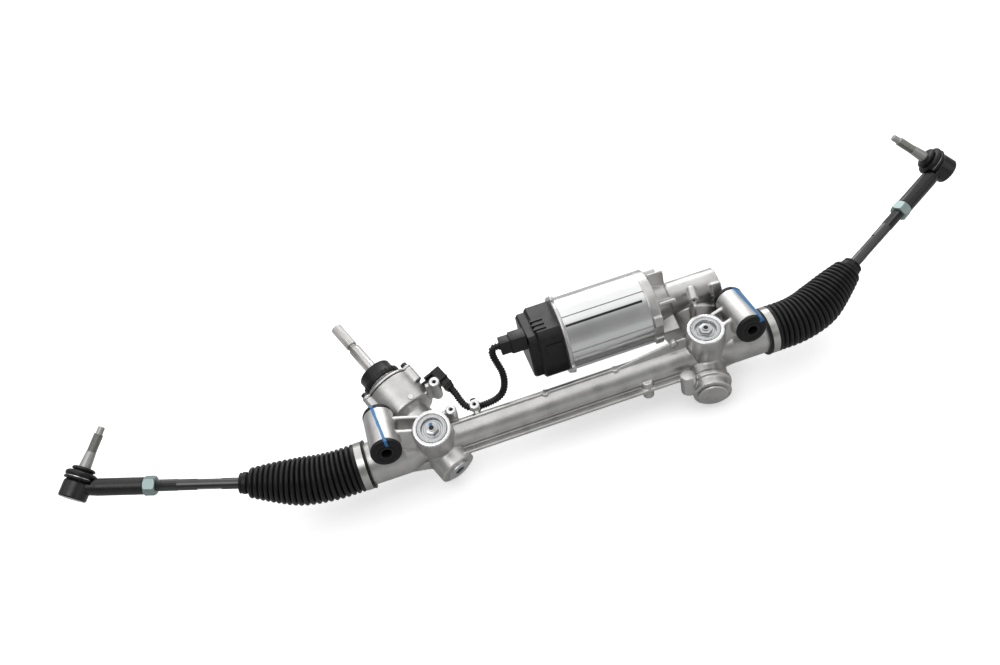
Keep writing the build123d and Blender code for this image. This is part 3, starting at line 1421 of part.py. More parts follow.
def main():
    os.makedirs("parts", exist_ok=True)
    save("rack_housing", rack_housing())
    save("gear_housing", gear_housing())
    save("gear_cover", gear_cover())
    save("sensor_cover", sensor_cover())
    save("dust_cap", dust_cap())
    save("torque_sensor", torque_sensor())
    save("sensor_screws", *sensor_screws())
    save("gear_screws", *gear_screws())
    save("steering_bearings", *steering_bearings())
    save("assist_bearings", *assist_bearings())
    save("worm_bearings", *worm_bearings())
    save("motor_bearings", *motor_bearings())
    save("worm_plug", worm_plug())
    save("steering_plug", steering_plug())
    save("assist_plug", assist_plug())
    yokes = ((LEFT_YOKE, LEFT_YOKE_TOP), (RIGHT_YOKE, RIGHT_YOKE_TOP))
    save("rack_yokes", *(yoke(*place) for place in yokes))
    save("yoke_springs", *(yoke_spring(*place) for place in yokes))
    save("yoke_plugs", *(yoke_plug(*place) for place in yokes))
    save("yoke_nuts", *(yoke_nut(*place) for place in yokes))
    save("bellows_clamps", large_clamp(-1), large_clamp(1))
    save("rack_bushes", rack_bush(-1), rack_bush(1))
    save("mount_bushes", mount_bush(-1), mount_bush(1))
    save("mount_sleeves", mount_sleeve(-1), mount_sleeve(1))
    save("motor_housing", motor_housing())
    save("motor_flange", motor_flange())
    save("motor_stator", motor_stator())
    save("ecu_cover", ecu_cover())
    save("ecu_plug", ecu_plug())
    save("sensor_plug", sensor_plug())
    save("sensor_lead", sensor_lead())
    save("lead_clip", lead_clip())
    save("rack_bar", rack_bar())
    save("steering_pinion", steering_pinion())
    save("torsion_bar", torsion_bar())
    save("input_shaft", input_shaft())
    save("assist_pinion", assist_pinion())
    save("worm_wheel", worm_wheel())
    save("worm_shaft", worm_shaft())
    save("motor_rotor", motor_rotor())
    save("worm_coupling", worm_coupling())
    for side, name, tie in ((-1, "left", LEFT_TIE), (1, "right", RIGHT_TIE)):
        save(f"{name}_inner_socket", inner_socket(side))
        save(f"{name}_bellows", bellows(side, tie))
        save(f"{name}_small_clamp", small_clamp(tie))
        save(f"{name}_tie_rod", tie_rod(tie))
        save(f"{name}_jam_nut", jam_nut(tie))
        save(f"{name}_rod_end", rod_end(tie))
        save(f"{name}_socket_cap", socket_cap(tie))
        save(f"{name}_end_boot", end_boot(tie))
        save(f"{name}_ball_stud", ball_stud(tie))


main()
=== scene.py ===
from math import cos, pi, radians, sin

import bpy
from mathutils import Matrix, Vector


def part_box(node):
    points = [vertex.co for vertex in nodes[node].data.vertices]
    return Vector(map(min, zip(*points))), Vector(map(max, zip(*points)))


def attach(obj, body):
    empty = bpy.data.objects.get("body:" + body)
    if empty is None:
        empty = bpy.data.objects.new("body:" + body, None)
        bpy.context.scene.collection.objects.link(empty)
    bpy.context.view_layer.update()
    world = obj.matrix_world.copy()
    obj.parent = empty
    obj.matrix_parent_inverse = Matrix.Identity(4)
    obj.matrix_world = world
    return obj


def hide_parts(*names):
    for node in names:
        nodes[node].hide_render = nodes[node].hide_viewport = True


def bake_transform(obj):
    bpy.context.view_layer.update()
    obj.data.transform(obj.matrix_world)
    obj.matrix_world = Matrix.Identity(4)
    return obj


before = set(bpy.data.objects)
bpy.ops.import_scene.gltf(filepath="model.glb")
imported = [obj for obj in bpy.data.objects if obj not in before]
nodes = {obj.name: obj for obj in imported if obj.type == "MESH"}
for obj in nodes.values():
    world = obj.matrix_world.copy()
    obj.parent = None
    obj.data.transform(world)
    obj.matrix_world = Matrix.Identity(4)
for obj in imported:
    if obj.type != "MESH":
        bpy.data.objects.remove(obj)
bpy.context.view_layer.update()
MM = 0.001

# The photograph's camera: where it looks, from which side, and how far away
LOOK_AT = Vector((-0.0713, 0.0, 0.1031))
CAMERA_BACK = Vector((-0.0788, -0.7803, 0.6205)).normalized()
CAMERA_RIGHT = Vector((0.9468, -0.2535, -0.1985)).normalized()
CAMERA_DISTANCE = 1.2452
CAMERA_LENS = 34.24
SENSOR_WIDTH = 36.0

# Light and floor: each lamp has a name, a place, a size and a power
LAMPS = (
    ("key", (-0.9, -1.1, 2.0), 1.6, 10.0),
    ("fill", (1.8, -1.4, 0.9), 1.8, 5.0),
    ("rim", (0.4, 1.9, 1.3), 1.6, 12.0),
)
FLOOR_GAP = 0.004
FLOOR_SIZE = 14.0
FLOOR_GLOW = 0.5
FLOOR_WHITE = (0.86, 0.86, 0.86)
FLOOR_BOUNCE = (0.36, 0.36, 0.36)
WHITE = (1.0, 1.0, 1.0)
GLOSSY_SHARE = 0.18

# The sky that metal mirrors: its brightness by height along a tilted axis, from -1 to 1
SKY_TILT = (0.06, 0.36, 0.86)
SKY = ((-1.0, 0.26), (-0.30, 0.20), (0.0, 0.10), (0.30, 0.12), (0.50, 0.34), (0.68, 1.12), (1.0, 1.25))

# Colours
CASTING = (0.58, 0.575, 0.565)
BLUE_PAINT = (0.05, 0.22, 0.50)
FACED = (0.76, 0.765, 0.77)
MARK = (0.10, 0.10, 0.105)
DIAL = (0.58, 0.585, 0.59)
NUT = (0.52, 0.525, 0.53)
SPLINE = (0.60, 0.585, 0.57)
MACHINED = (0.62, 0.625, 0.63)
BARREL = (0.80, 0.805, 0.81)
BLACK_PLASTIC = (0.014, 0.014, 0.015)
BLACK_RUBBER = (0.011, 0.011, 0.0115)
BLACK_PAINT = (0.014, 0.014, 0.0145)
ZINC = (0.30, 0.385, 0.375)
STEEL = (0.55, 0.56, 0.57)
STUD_STEEL = (0.44, 0.44, 0.425)
BLACK_STEEL = (0.022, 0.022, 0.023)
THREAD_STEEL = (0.26, 0.26, 0.245)
BRIGHT_STEEL = (0.68, 0.69, 0.70)
STAINLESS = (0.56, 0.555, 0.54)
CORE = (0.22, 0.22, 0.23)
NYLON = (0.74, 0.70, 0.60)
# INSIDE_SHADE is painted shade: the share of a colour left where a surface turns inwards, in creases and
# hollows
INSIDE_SHADE = 0.45
GRAIN_DEPTH = 0.0004
PAINT_RAGGED = 260.0
PAINT_WANDER = 0.0022


def look_through_the_photographs_camera():
    data = bpy.data.cameras.new("camera")
    data.sensor_width = SENSOR_WIDTH
    data.lens = CAMERA_LENS
    data.clip_end = 50
    camera = bpy.data.objects.new("camera", data)
    bpy.context.scene.collection.objects.link(camera)
    up = CAMERA_BACK.cross(CAMERA_RIGHT).normalized()
    right = up.cross(CAMERA_BACK)
    turn = Matrix((right, up, CAMERA_BACK)).transposed().to_4x4()
    camera.matrix_world = Matrix.Translation(LOOK_AT + CAMERA_BACK * CAMERA_DISTANCE) @ turn
    bpy.context.scene.camera = camera


look_through_the_photographs_camera()
bpy.context.scene.view_settings.view_transform = "Standard"


# Shader nodes
def feed(tree, socket, source):
    """Put another node's output, a colour, a vector or a number into a socket."""
    if isinstance(source, bpy.types.NodeSocket):
        tree.links.new(source, socket)
    elif socket.type == "RGBA":
        socket.default_value = (*source, 1)
    else:
        socket.default_value = source


def add_node(tree, kind, values=(), **settings):
    """A node with its settings, and with what goes into its sockets."""
    node = tree.nodes.new("ShaderNode" + kind)
    for key, value in settings.items():
        setattr(node, key, value)
    for socket, source in dict(values).items():
        feed(tree, node.inputs[socket], source)
    return node


def maths(tree, operation, first, second=0.0):
    return add_node(tree, "Math", {0: first, 1: second}, operation=operation).outputs["Value"]


def vector_maths(tree, operation, first, second=(0, 0, 0), result="Value"):
    return add_node(tree, "VectorMath", {0: first, 1: second}, operation=operation).outputs[result]


def mixed(tree, share, first, second, kind="RGBA"):
    """Two colours, or two numbers as kind FLOAT, mixed by a share."""
    values = {"Factor": share, "A": first, "B": second}
    return add_node(tree, "Mix", values, data_type=kind).outputs["Result"]


def background_share(tree):
    """How far a ray shows the white background: all to the camera and through glass, some in metal."""
    ray = add_node(tree, "LightPath").outputs
    shine = maths(tree, "MULTIPLY", ray["Is Glossy Ray"], GLOSSY_SHARE)
    clear = maths(tree, "MAXIMUM", ray["Is Camera Ray"], ray["Is Transmission Ray"])
    return maths(tree, "MAXIMUM", shine, clear)


# Light and floor
def area_lamp(name, place, size, power):
    """A round lamp that points at the middle of the part."""
    data = bpy.data.lights.new(name, "AREA")
    data.shape = "DISK"
    data.size = size
    data.energy = power
    lamp = bpy.data.objects.new(name, data)
    bpy.context.scene.collection.objects.link(lamp)
    lamp.location = place
    lamp.rotation_euler = (-Vector(place)).to_track_quat("-Z", "Y").to_euler()


def sky_level(tree):
    """The sky's brightness in the direction of a ray."""
    direction = add_node(tree, "TexCoord").outputs["Generated"]
    height = vector_maths(tree, "DOT_PRODUCT", direction, SKY_TILT)
    share = add_node(tree, "MapRange", {"Value": height, "From Min": -1.0}).outputs["Result"]
    sky = add_node(tree, "ValToRGB", {"Fac": share})
    brightest = max(level for stop, level in SKY)
    for stop, level in SKY[1:-1]:
        sky.color_ramp.elements.new((stop + 1) / 2)
    for element, (stop, level) in zip(sky.color_ramp.elements, SKY):
        element.color = (*[level / brightest] * 3, 1)
    return maths(tree, "MULTIPLY", sky.outputs["Color"], brightest)


def light_the_studio():
    for lamp in LAMPS:
        area_lamp(*lamp)
    world = bpy.data.worlds.new("studio")
    bpy.context.scene.world = world
    world.use_nodes = True
    tree = world.node_tree
    tree.nodes.clear()
    lit = add_node(tree, "Background", {"Color": WHITE, "Strength": sky_level(tree)}).outputs[0]
    seen = add_node(tree, "Background", {"Color": WHITE, "Strength": 1.0}).outputs[0]
    mix = add_node(tree, "MixShader", {"Fac": background_share(tree), 1: lit, 2: seen}).outputs[0]
    add_node(tree, "OutputWorld", {"Surface": mix})


def floor_finish():
    material = bpy.data.materials.new("floor_white")
    material.use_nodes = True
    tree = material.node_tree
    tree.nodes.clear()
    paint = add_node(tree, "BsdfDiffuse", {"Color": FLOOR_WHITE}).outputs[0]
    glow = add_node(tree, "Emission", {"Strength": FLOOR_GLOW}).outputs[0]
    seen = add_node(tree, "AddShader", {0: paint, 1: glow}).outputs[0]
    bounce = add_node(tree, "BsdfDiffuse", {"Color": FLOOR_BOUNCE}).outputs[0]
    mix = add_node(tree, "MixShader", {"Fac": background_share(tree), 1: bounce, 2: seen}).outputs[0]
    add_node(tree, "OutputMaterial", {"Surface": mix})
    return material


def lay_the_floor():
    low = min(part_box(name)[0].z for name in nodes)
    bpy.ops.mesh.primitive_plane_add(size=FLOOR_SIZE, location=(0, 0, low - FLOOR_GAP))
    floor = bpy.context.object
    floor.name = "floor"
    floor.data.materials.append(floor_finish())


light_the_studio()
lay_the_floor()


# Effects that several finishes share
def shader_group(name, inputs, outputs):
    """A shader node group with named sockets: (name, kind, value) in and (name, kind) out."""
    group = bpy.data.node_groups.new(name, "ShaderNodeTree")
    for socket, kind, value in inputs:
        made = group.interface.new_socket(socket, in_out="INPUT", socket_type="NodeSocket" + kind)
        made.default_value = value
    for socket, kind in outputs:
        group.interface.new_socket(socket, in_out="OUTPUT", socket_type="NodeSocket" + kind)
    given = group.nodes.new("NodeGroupInput").outputs
    result = group.nodes.new("NodeGroupOutput").inputs
    return group, given, result


def grain_group():
    """A fine relief all over, coarse and fine grain together."""
    wanted = (("Scale", "Float", 900.0), ("Strength", "Float", 0.3))
    group, given, result = shader_group("grain", wanted, (("Normal", "Vector"),))
    place = add_node(group, "TexCoord").outputs["Object"]
    noise = {"Vector": place, "Scale": given["Scale"], "Detail": 4.0, "Roughness": 0.6}
    grain = add_node(group, "TexNoise", noise).outputs["Fac"]
    relief = {"Strength": given["Strength"], "Distance": GRAIN_DEPTH, "Height": grain}
    feed(group, result["Normal"], add_node(group, "Bump", relief).outputs["Normal"])
    return group


def cloud_group():
    """Soft patches from 0 up to the contrast."""
    wanted = (("Scale", "Float", 40.0), ("Contrast", "Float", 1.0))
    group, given, result = shader_group("clouds", wanted, (("Fac", "Float"),))
    place = add_node(group, "TexCoord").outputs["Object"]
    noise = {"Vector": place, "Scale": given["Scale"], "Detail": 6.0, "Roughness": 0.55}
    broad = add_node(group, "TexNoise", noise).outputs["Fac"]
    spread = {"Value": broad, "From Min": 0.3, "From Max": 0.7, "To Max": given["Contrast"]}
    feed(group, result["Fac"], add_node(group, "MapRange", spread).outputs["Result"])
    return group


def edge_group():
    """Where the surface turns outwards, for worn edges, and where it turns inwards, for painted shade in
    creases.
    """
    group, given, result = shader_group("edges", (), (("Outer", "Float"), ("Inner", "Float")))
    bend = add_node(group, "NewGeometry").outputs["Pointiness"]
    for socket, starts, full in (("Outer", 0.515, 0.58), ("Inner", 0.49, 0.43)):
        turn = {"Value": bend, "From Min": starts, "From Max": full}
        feed(group, result[socket], add_node(group, "MapRange", turn).outputs["Result"])
    return group


def face_group():
    """Where a point lies above a height on an axis and within a radius of it."""
    wanted = (
        ("Origin", "Vector", (0, 0, 0)),
        ("Axis", "Vector", (0, 0, 1)),
        ("Height", "Float", 0.05),
        ("Radius", "Float", 0.02),
    )
    group, given, result = shader_group("machined_face", wanted, (("Mask", "Float"),))
    place = add_node(group, "TexCoord").outputs["Object"]
    offset = vector_maths(group, "SUBTRACT", place, given["Origin"], "Vector")
    along = vector_maths(group, "DOT_PRODUCT", offset, given["Axis"])
    away = vector_maths(group, "LENGTH", offset)
    above = maths(group, "GREATER_THAN", along, given["Height"])
    squares = [maths(group, "MULTIPLY", side, side) for side in (away, along, given["Radius"])]
    within = maths(group, "LESS_THAN", maths(group, "SUBTRACT", squares[0], squares[1]), squares[2])
    feed(group, result["Mask"], maths(group, "MULTIPLY", above, within))
    return group


def stripe_group():
    """A painted stripe: close to an upright plane, above a height, and within reach of the middle."""
    wanted = (
        ("Origin", "Vector", (0, 0, 0)),
        ("Across", "Vector", (1, 0, 0)),
        ("Half", "Float", 0.0015),
        ("Height", "Float", 0.01),
        ("Reach", "Float", 0.042),
    )
    group, given, result = shader_group("painted_stripe", wanted, (("Mask", "Float"),))
    place = add_node(group, "TexCoord").outputs["Object"]
    offset = vector_maths(group, "SUBTRACT", place, given["Origin"], "Vector")
    apart = maths(group, "ABSOLUTE", vector_maths(group, "DOT_PRODUCT", offset, given["Across"]))
    noise = {"Vector": place, "Scale": PAINT_RAGGED, "Detail": 3.0}
    ragged = add_node(group, "TexNoise", noise).outputs["Fac"]
    wide = maths(group, "ADD", apart, maths(group, "MULTIPLY", ragged, PAINT_WANDER))
    thin = maths(group, "LESS_THAN", wide, given["Half"])
    axes = add_node(group, "SeparateXYZ", {0: place}).outputs
    above = maths(group, "GREATER_THAN", axes["Z"], given["Height"])
    within = maths(group, "LESS_THAN", maths(group, "ABSOLUTE", axes["Y"]), given["Reach"])
    feed(group, result["Mask"], maths(group, "MULTIPLY", maths(group, "MULTIPLY", thin, above), within))
    return group


GRAIN = grain_group()
CLOUDS = cloud_group()
EDGES = edge_group()
FACE = face_group()
STRIPE = stripe_group()


def use_group(tree, group, values=()):
    node = tree.nodes.new("ShaderNodeGroup")
    node.node_tree = group
    for socket, source in dict(values).items():
        feed(tree, node.inputs[socket], source)
    return node.outputs


# Finishes
def darker(colour, share):
    return tuple(c * share for c in colour)


def surface(
    name, colour, metallic, roughness, grain, grain_scale, mottle, mottle_scale,
    edges=0.0, spread=0.08, shine=0.5,
):
    """A finish with patchy colour and gloss, fine grain, lighter worn edges, and painted shade where the
    surface turns inwards.
    """
    material = bpy.data.materials.new(name)
    material.use_nodes = True
    tree = material.node_tree
    clouds = use_group(tree, CLOUDS, {"Scale": mottle_scale})["Fac"]
    light = tuple(min(1.0, c * (1 + mottle)) for c in colour)
    shade = mixed(tree, clouds, darker(colour, 1 - mottle), light)
    if edges:
        turn = use_group(tree, EDGES)
        bright = tuple(min(1.0, c + edges) for c in colour)
        shade = mixed(tree, turn["Outer"], shade, bright)
        # Painted shade: the colour darkened where the surface turns inwards, in creases and hollows
        shade = mixed(tree, turn["Inner"], shade, darker(colour, INSIDE_SHADE))
    gloss = {"Value": clouds, "To Min": roughness - spread, "To Max": roughness + spread}
    relief = {"Scale": grain_scale, "Strength": grain}
    looks = {
        "Metallic": metallic,
        "Specular IOR Level": shine,
        "Base Color": shade,
        "Roughness": add_node(tree, "MapRange", gloss).outputs["Result"],
        "Normal": use_group(tree, GRAIN, relief)["Normal"],
    }
    shader = tree.nodes["Principled BSDF"]
    for socket, source in looks.items():
        feed(tree, shader.inputs[socket], source)
    return material


def lay_over(material, mask, colour, roughness, metallic):
    """Another finish where a mask is 1, over what the material already has."""
    tree = material.node_tree
    looks = (
        ("Base Color", colour, "RGBA"),
        ("Roughness", roughness, "FLOAT"),
        ("Metallic", metallic, "FLOAT"),
    )
    for name, over, kind in looks:
        socket = tree.nodes["Principled BSDF"].inputs[name]
        under = socket.links[0].from_socket if socket.links else socket.default_value
        feed(tree, socket, mixed(tree, mask, under, over, kind))


# Each finish: name, colour, metallic, roughness, grain and its scale, mottle and its scale
cast = surface("cast_aluminium", CASTING, 0.92, 0.33, 0.55, 620, 0.14, 45, edges=0.25, spread=0.07)
machined = surface("machined_aluminium", MACHINED, 1.0, 0.24, 0.08, 1500, 0.05, 90, edges=0.1)
barrel = surface("barrel_aluminium", BARREL, 0.97, 0.22, 0.0, 1400, 0.04, 25, spread=0.04)
black_plastic = surface("black_plastic", BLACK_PLASTIC, 0.0, 0.34, 0.25, 1500, 0.25, 80, shine=0.34)
black_rubber = surface("black_rubber", BLACK_RUBBER, 0.0, 0.34, 0.10, 1100, 0.3, 50, shine=0.30)
black_paint = surface("black_paint", BLACK_PAINT, 0.0, 0.12, 0.04, 500, 0.25, 60, spread=0.04, shine=0.9)
forged = surface("forged_black", BLACK_PAINT, 0.0, 0.26, 0.30, 500, 0.25, 60, shine=0.45)
black_steel = surface("black_steel", BLACK_STEEL, 0.4, 0.38, 0.10, 900, 0.25, 60, shine=0.3)
zinc = surface("pale_zinc", ZINC, 0.6, 0.36, 0.1, 900, 0.12, 80)
steel = surface("steel", STEEL, 1.0, 0.3, 0.08, 1200, 0.08, 60)
bright_steel = surface("bright_steel", BRIGHT_STEEL, 1.0, 0.24, 0.06, 1300, 0.06, 60)
stud_steel = surface("stud_steel", STUD_STEEL, 0.75, 0.42, 0.10, 1300, 0.10, 60)
thread_steel = surface("thread_steel", THREAD_STEEL, 0.8, 0.4, 0.1, 1300, 0.15, 90)
stainless = surface("stainless", STAINLESS, 1.0, 0.24, 0.05, 1500, 0.08, 60)
core = surface("core_steel", CORE, 0.7, 0.4, 0.1, 900, 0.15, 60)
nylon = surface("nylon", NYLON, 0.0, 0.35, 0.05, 900, 0.08, 60)
eye_rubber = surface("eye_rubber", BLACK_RUBBER, 0.0, 0.38, 0.12, 1100, 0.3, 50, shine=0.25)
nut_steel = surface("nut_steel", NUT, 1.0, 0.26, 0.06, 1300, 0.06, 60)
cap_steel = surface("cap_steel", BRIGHT_STEEL, 1.0, 0.26, 0.06, 1300, 0.06, 60)
dial = surface("dial_aluminium", DIAL, 1.0, 0.30, 0.08, 1500, 0.05, 90)
marks = surface("marks", MARK, 0.4, 0.5, 0.05, 900, 0.1, 60)
splined_steel = surface("splined_steel", SPLINE, 1.0, 0.30, 0.06, 1300, 0.08, 60, edges=0.12)

# The nodes of each finish; the others are plain steel
FINISHES = {
    cast: ("rack_housing", "gear_housing", "gear_cover", "sensor_cover", "motor_flange", "assist_plug"),
    barrel: ("motor_housing",),
    machined: ("worm_plug", "steering_plug", "rack_yokes", "yoke_plugs"),
    black_plastic: ("dust_cap", "ecu_cover", "ecu_plug", "sensor_plug", "sensor_lead", "lead_clip"),
    black_rubber: ("left_bellows", "right_bellows", "left_end_boot", "right_end_boot", "mount_bushes"),
    black_paint: ("left_tie_rod", "right_tie_rod", "sensor_screws"),
    forged: ("left_rod_end", "right_rod_end"),
    zinc: ("gear_screws", "left_jam_nut", "right_jam_nut"),
    cap_steel: ("left_socket_cap", "right_socket_cap"),
    bright_steel: ("rack_bar",),
    stud_steel: ("left_ball_stud", "right_ball_stud"),
    black_steel: ("mount_sleeves", "left_small_clamp", "right_small_clamp"),
    stainless: ("bellows_clamps",),
    core: ("motor_stator", "motor_rotor"),
    nylon: ("worm_wheel",),
}


def give_finish(piece, material):
    piece.data.materials.clear()
    piece.data.materials.append(material)


def paint_the_nodes():
    finish_of = {name: material for material, names in FINISHES.items() for name in names}
    for name, node in nodes.items():
        give_finish(node, finish_of.get(name, steel))


paint_the_nodes()


# Modelling steps. New pieces are drawn in millimetres, and the nodes' meshes are in metres
MERGE_GAP = 0.002
NODE_MERGE_GAP = 0.00001


def clear_selection():
    if bpy.context.object and bpy.context.object.mode != "OBJECT":
        bpy.ops.object.mode_set(mode="OBJECT")
    bpy.ops.object.select_all(action="DESELECT")


def pick(piece):
    clear_selection()
    piece.select_set(True)
    bpy.context.view_layer.objects.active = piece


def edit_all():
    """Edit mode with all of the active piece selected."""
    bpy.ops.object.mode_set(mode="EDIT")
    bpy.ops.mesh.select_all(action="SELECT")


def apply_modifiers(piece):
    pick(piece)
    for modifier in list(piece.modifiers):
        bpy.ops.object.modifier_apply(modifier=modifier.name)


def bend_along(piece, curve):
    """Bend a piece along a curve, after what its other modifiers do."""
    bend = piece.modifiers.new("bend", "CURVE")
    bend.object = curve
    bend.deform_axis = "POS_X"
    apply_modifiers(piece)


def new_curve(count, resolution):
    """A bezier curve with a number of points, still to be placed."""
    clear_selection()
    bpy.ops.curve.primitive_bezier_curve_add()
    curve = bpy.context.object
    curve.data.resolution_u = resolution
    spline = curve.data.splines[0]
    spline.bezier_points.add(count - 2)
    return curve, spline


def start_point():
    """A new mesh of one vertex, selected in edit mode."""
    clear_selection()
    bpy.ops.mesh.primitive_plane_add(size=1)
    edit_all()
    bpy.ops.mesh.merge(type="CENTER")
    return bpy.context.object


def draw(points):
    """Extrude the selected vertex along a line of points."""
    here = Vector(points[0])
    bpy.ops.transform.translate(value=here)
    for point in points[1:]:
        step = Vector(point) - here
        bpy.ops.mesh.extrude_region_move(TRANSFORM_OT_translate={"value": step})
        here = Vector(point)


def spun(points, axis, steps):
    """A mesh turned about an axis from a line of points."""
    piece = start_point()
    draw(points)
    bpy.ops.mesh.select_all(action="SELECT")
    bpy.ops.mesh.spin(steps=steps, angle=2 * pi, center=(0, 0, 0), axis=axis)
    bpy.ops.mesh.select_all(action="SELECT")
    bpy.ops.mesh.remove_doubles(threshold=MERGE_GAP)
    bpy.ops.mesh.normals_make_consistent(inside=False)
    bpy.ops.object.mode_set(mode="OBJECT")
    return piece


def settle(piece, name, frame_matrix, material, body, replaced=(), angle=35):
    """Put a piece in its place, with its place in its mesh, and let a body carry it."""
    pick(piece)
    piece.name = name
    piece.data.name = name
    piece.data.transform(frame_matrix)
    give_finish(piece, material)
    bpy.ops.object.shade_smooth_by_angle(angle=radians(angle))
    if body:
        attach(piece, body)
    if replaced:
        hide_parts(*replaced)
    return piece


def turned(name, frame_matrix, profile, material, body, replaced=(), steps=64, angle=35):
    """A turned piece about a frame's Z, from (radius, height) points in millimetres."""
    points = [(radius, 0, height) for radius, height in profile]
    piece = spun(points + points[:1], (0, 0, 1), steps)
    return settle(piece, name, frame_matrix, material, body, replaced, angle)


def threaded(name, frame_matrix, start, turns, pitch, root, crest, material, body):
    """A thread's crests and roots round a shaft, with its inside hidden in the shaft."""
    inside = root - 0.6
    profile = [(inside, start)]
    for turn in range(turns):
        profile += [(root, start + turn * pitch), (crest, start + (turn + 0.5) * pitch)]
    profile += [(root, start + turns * pitch), (inside, start + turns * pitch)]
    return turned(name, frame_matrix, profile, material, body, steps=36, angle=20)


def round_edges(width):
    """Round all edges of the active piece."""
    edit_all()
    bpy.ops.mesh.bevel(offset=width, segments=2, affect="EDGES")
    bpy.ops.object.mode_set(mode="OBJECT")


def block(size, centre, bevel):
    """A block with its edges rounded, unless the bevel is 0."""
    clear_selection()
    bpy.ops.mesh.primitive_cube_add(size=1, location=centre, scale=size)
    bpy.ops.object.transform_apply(location=True, rotation=True, scale=True)
    if bevel:
        round_edges(bevel)
    return bpy.context.object


def joined(pieces):
    """Several pieces as one."""
    clear_selection()
    for piece in pieces:
        piece.select_set(True)
    bpy.context.view_layer.objects.active = pieces[0]
    if len(pieces) > 1:
        bpy.ops.object.join()
    return bpy.context.object


def moulded(name, frame_matrix, blocks, material, body, replaced=(), bevel=0.8):
    """Moulded blocks with rounded edges, each a size and a centre in millimetres."""
    piece = joined([block(size, centre, bevel) for size, centre in blocks])
    return settle(piece, name, frame_matrix, material, body, replaced)


def ring_of_blocks(name, frame_matrix, size, centre, count, material, body, bevel=0.0):
    """One block repeated round a frame's Z."""
    first = block(size, centre, bevel)
    pieces = [first]
    for step in range(1, count):
        copy = first.copy()
        copy.data = first.data.copy()
        copy.data.transform(Matrix.Rotation(2 * pi * step / count, 4, "Z"))
        bpy.context.scene.collection.objects.link(copy)
        pieces.append(copy)
    return settle(joined(pieces), name, frame_matrix, material, body)


def copy_of(name, new_name, body):
    """A merged copy of a CAD node that stands for it."""
    source = nodes[name]
    piece = bpy.data.objects.new(new_name, source.data.copy())
    bpy.context.scene.collection.objects.link(piece)
    pick(piece)
    edit_all()
    bpy.ops.mesh.remove_doubles(threshold=NODE_MERGE_GAP)
    bpy.ops.object.mode_set(mode="OBJECT")
    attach(piece, body)
    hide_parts(name)
    return piece


# Castings
SKIN_VOXEL = 0.0013
SKIN_ROUNDS = 4
SKIN_SHARE = 0.4
HOUSING_SKIN_SHARE = 0.26


def cast_copy(name, share=SKIN_SHARE):
    """A casting with its corners and inside edges rounded, as a mould leaves them."""
    piece = copy_of(name, name + "_cast", "housing")
    remesh = piece.modifiers.new("skin", "REMESH")
    remesh.mode = "VOXEL"
    remesh.voxel_size = SKIN_VOXEL
    smooth = piece.modifiers.new("melt", "SMOOTH")
    smooth.factor = 0.5
    smooth.iterations = SKIN_ROUNDS
    thin = piece.modifiers.new("thin", "DECIMATE")
    thin.ratio = share
    apply_modifiers(piece)
    bpy.ops.object.shade_smooth()
    give_finish(piece, cast)


cast_copy("rack_housing", HOUSING_SKIN_SHARE)
for casting in ("gear_housing", "gear_cover", "sensor_cover", "motor_flange", "assist_plug"):
    cast_copy(casting)

# Places, in the part's own drawing frame in millimetres: the rack bar's axis is X
MOUNT_RISE = 46.0
EYE_X = 262.5
HOUSING_END = 314.0
INNER_BALL_X = 366.0
LEFT_X = -196.0
RIGHT_X = 206.0
LEFT_TILT = 63.5
RIGHT_TILT = 76.5
STEERING_LEAN = -22.0
ASSIST_LEAN = 13.0
STEERING_OFFSET = 16.8
ASSIST_OFFSET = 17.8
STUD_LEAN = 17.0
TIE_LENGTH = 330.0

# The worm gear, which puts the motor's axis in its place
MODULE = 2.0
WORM_STARTS = 2
WHEEL_TEETH = 41
WHEEL_AT = 87.0

# Each tie rod's sweep to the back, its rise, and its roll about itself, in degrees
LEFT_TIE = (12.2, 12.1, 58.0)
RIGHT_TIE = (24.6, 14.4, -41.0)

ALONG_X = Vector((1, 0, 0))
ALONG_Y = Vector((0, 1, 0))
ALONG_Z = Vector((0, 0, 1))


def at(point):
    """A point of the drawing frame, in the scene."""
    return (Vector(point) - ALONG_Z * MOUNT_RISE) * MM


def frame_of(origin, z_dir, x_dir):
    """A matrix that puts millimetres of a local frame in the scene."""
    z_dir = Vector(z_dir).normalized()
    x_dir = (Vector(x_dir) - z_dir * z_dir.dot(Vector(x_dir))).normalized()
    turn = Matrix((x_dir, z_dir.cross(x_dir), z_dir)).transposed().to_4x4()
    return Matrix.Translation(at(origin)) @ turn @ Matrix.Scale(MM, 4)


def tilt_direction(tilt):
    """The way a yoke's boss points: to the front, and up by its tilt."""
    return Vector((0, -cos(radians(tilt)), sin(radians(tilt))))


def shaft_frame(x, tilt, lean, offset):
    """A pinion shaft's frame, with Z up the shaft and X towards the rack bar."""
    out = tilt_direction(tilt)
    level = Vector((0, sin(radians(tilt)), cos(radians(tilt))))
    along = ALONG_X * sin(radians(lean)) + level * cos(radians(lean))
    return frame_of(Vector((x, 0, 0)) - out * offset, along, out)


def motor_frame(assist):
    """The motor's frame on the worm's axis, with Z along X."""
    worm_radius = WORM_STARTS * MODULE / (2 * sin(radians(ASSIST_LEAN)))
    worm_distance = worm_radius + MODULE * WHEEL_TEETH / 2
    centre = assist @ Vector((worm_distance, 0, WHEEL_AT)) / MM + ALONG_Z * MOUNT_RISE
    return frame_of((0, centre.y, centre.z), ALONG_X, ALONG_Y)


def tie_directions(side, sweep, rise, roll):
    """Out along a tie rod, and up across it."""
    level_run = cos(radians(rise))
    across = side * level_run * cos(radians(sweep))
    out = Vector((across, level_run * sin(radians(sweep)), sin(radians(rise))))
    up = (ALONG_Z - out * out.z).normalized()
    lean = radians(roll)
    return out, up * cos(lean) - up.cross(out) * sin(lean)


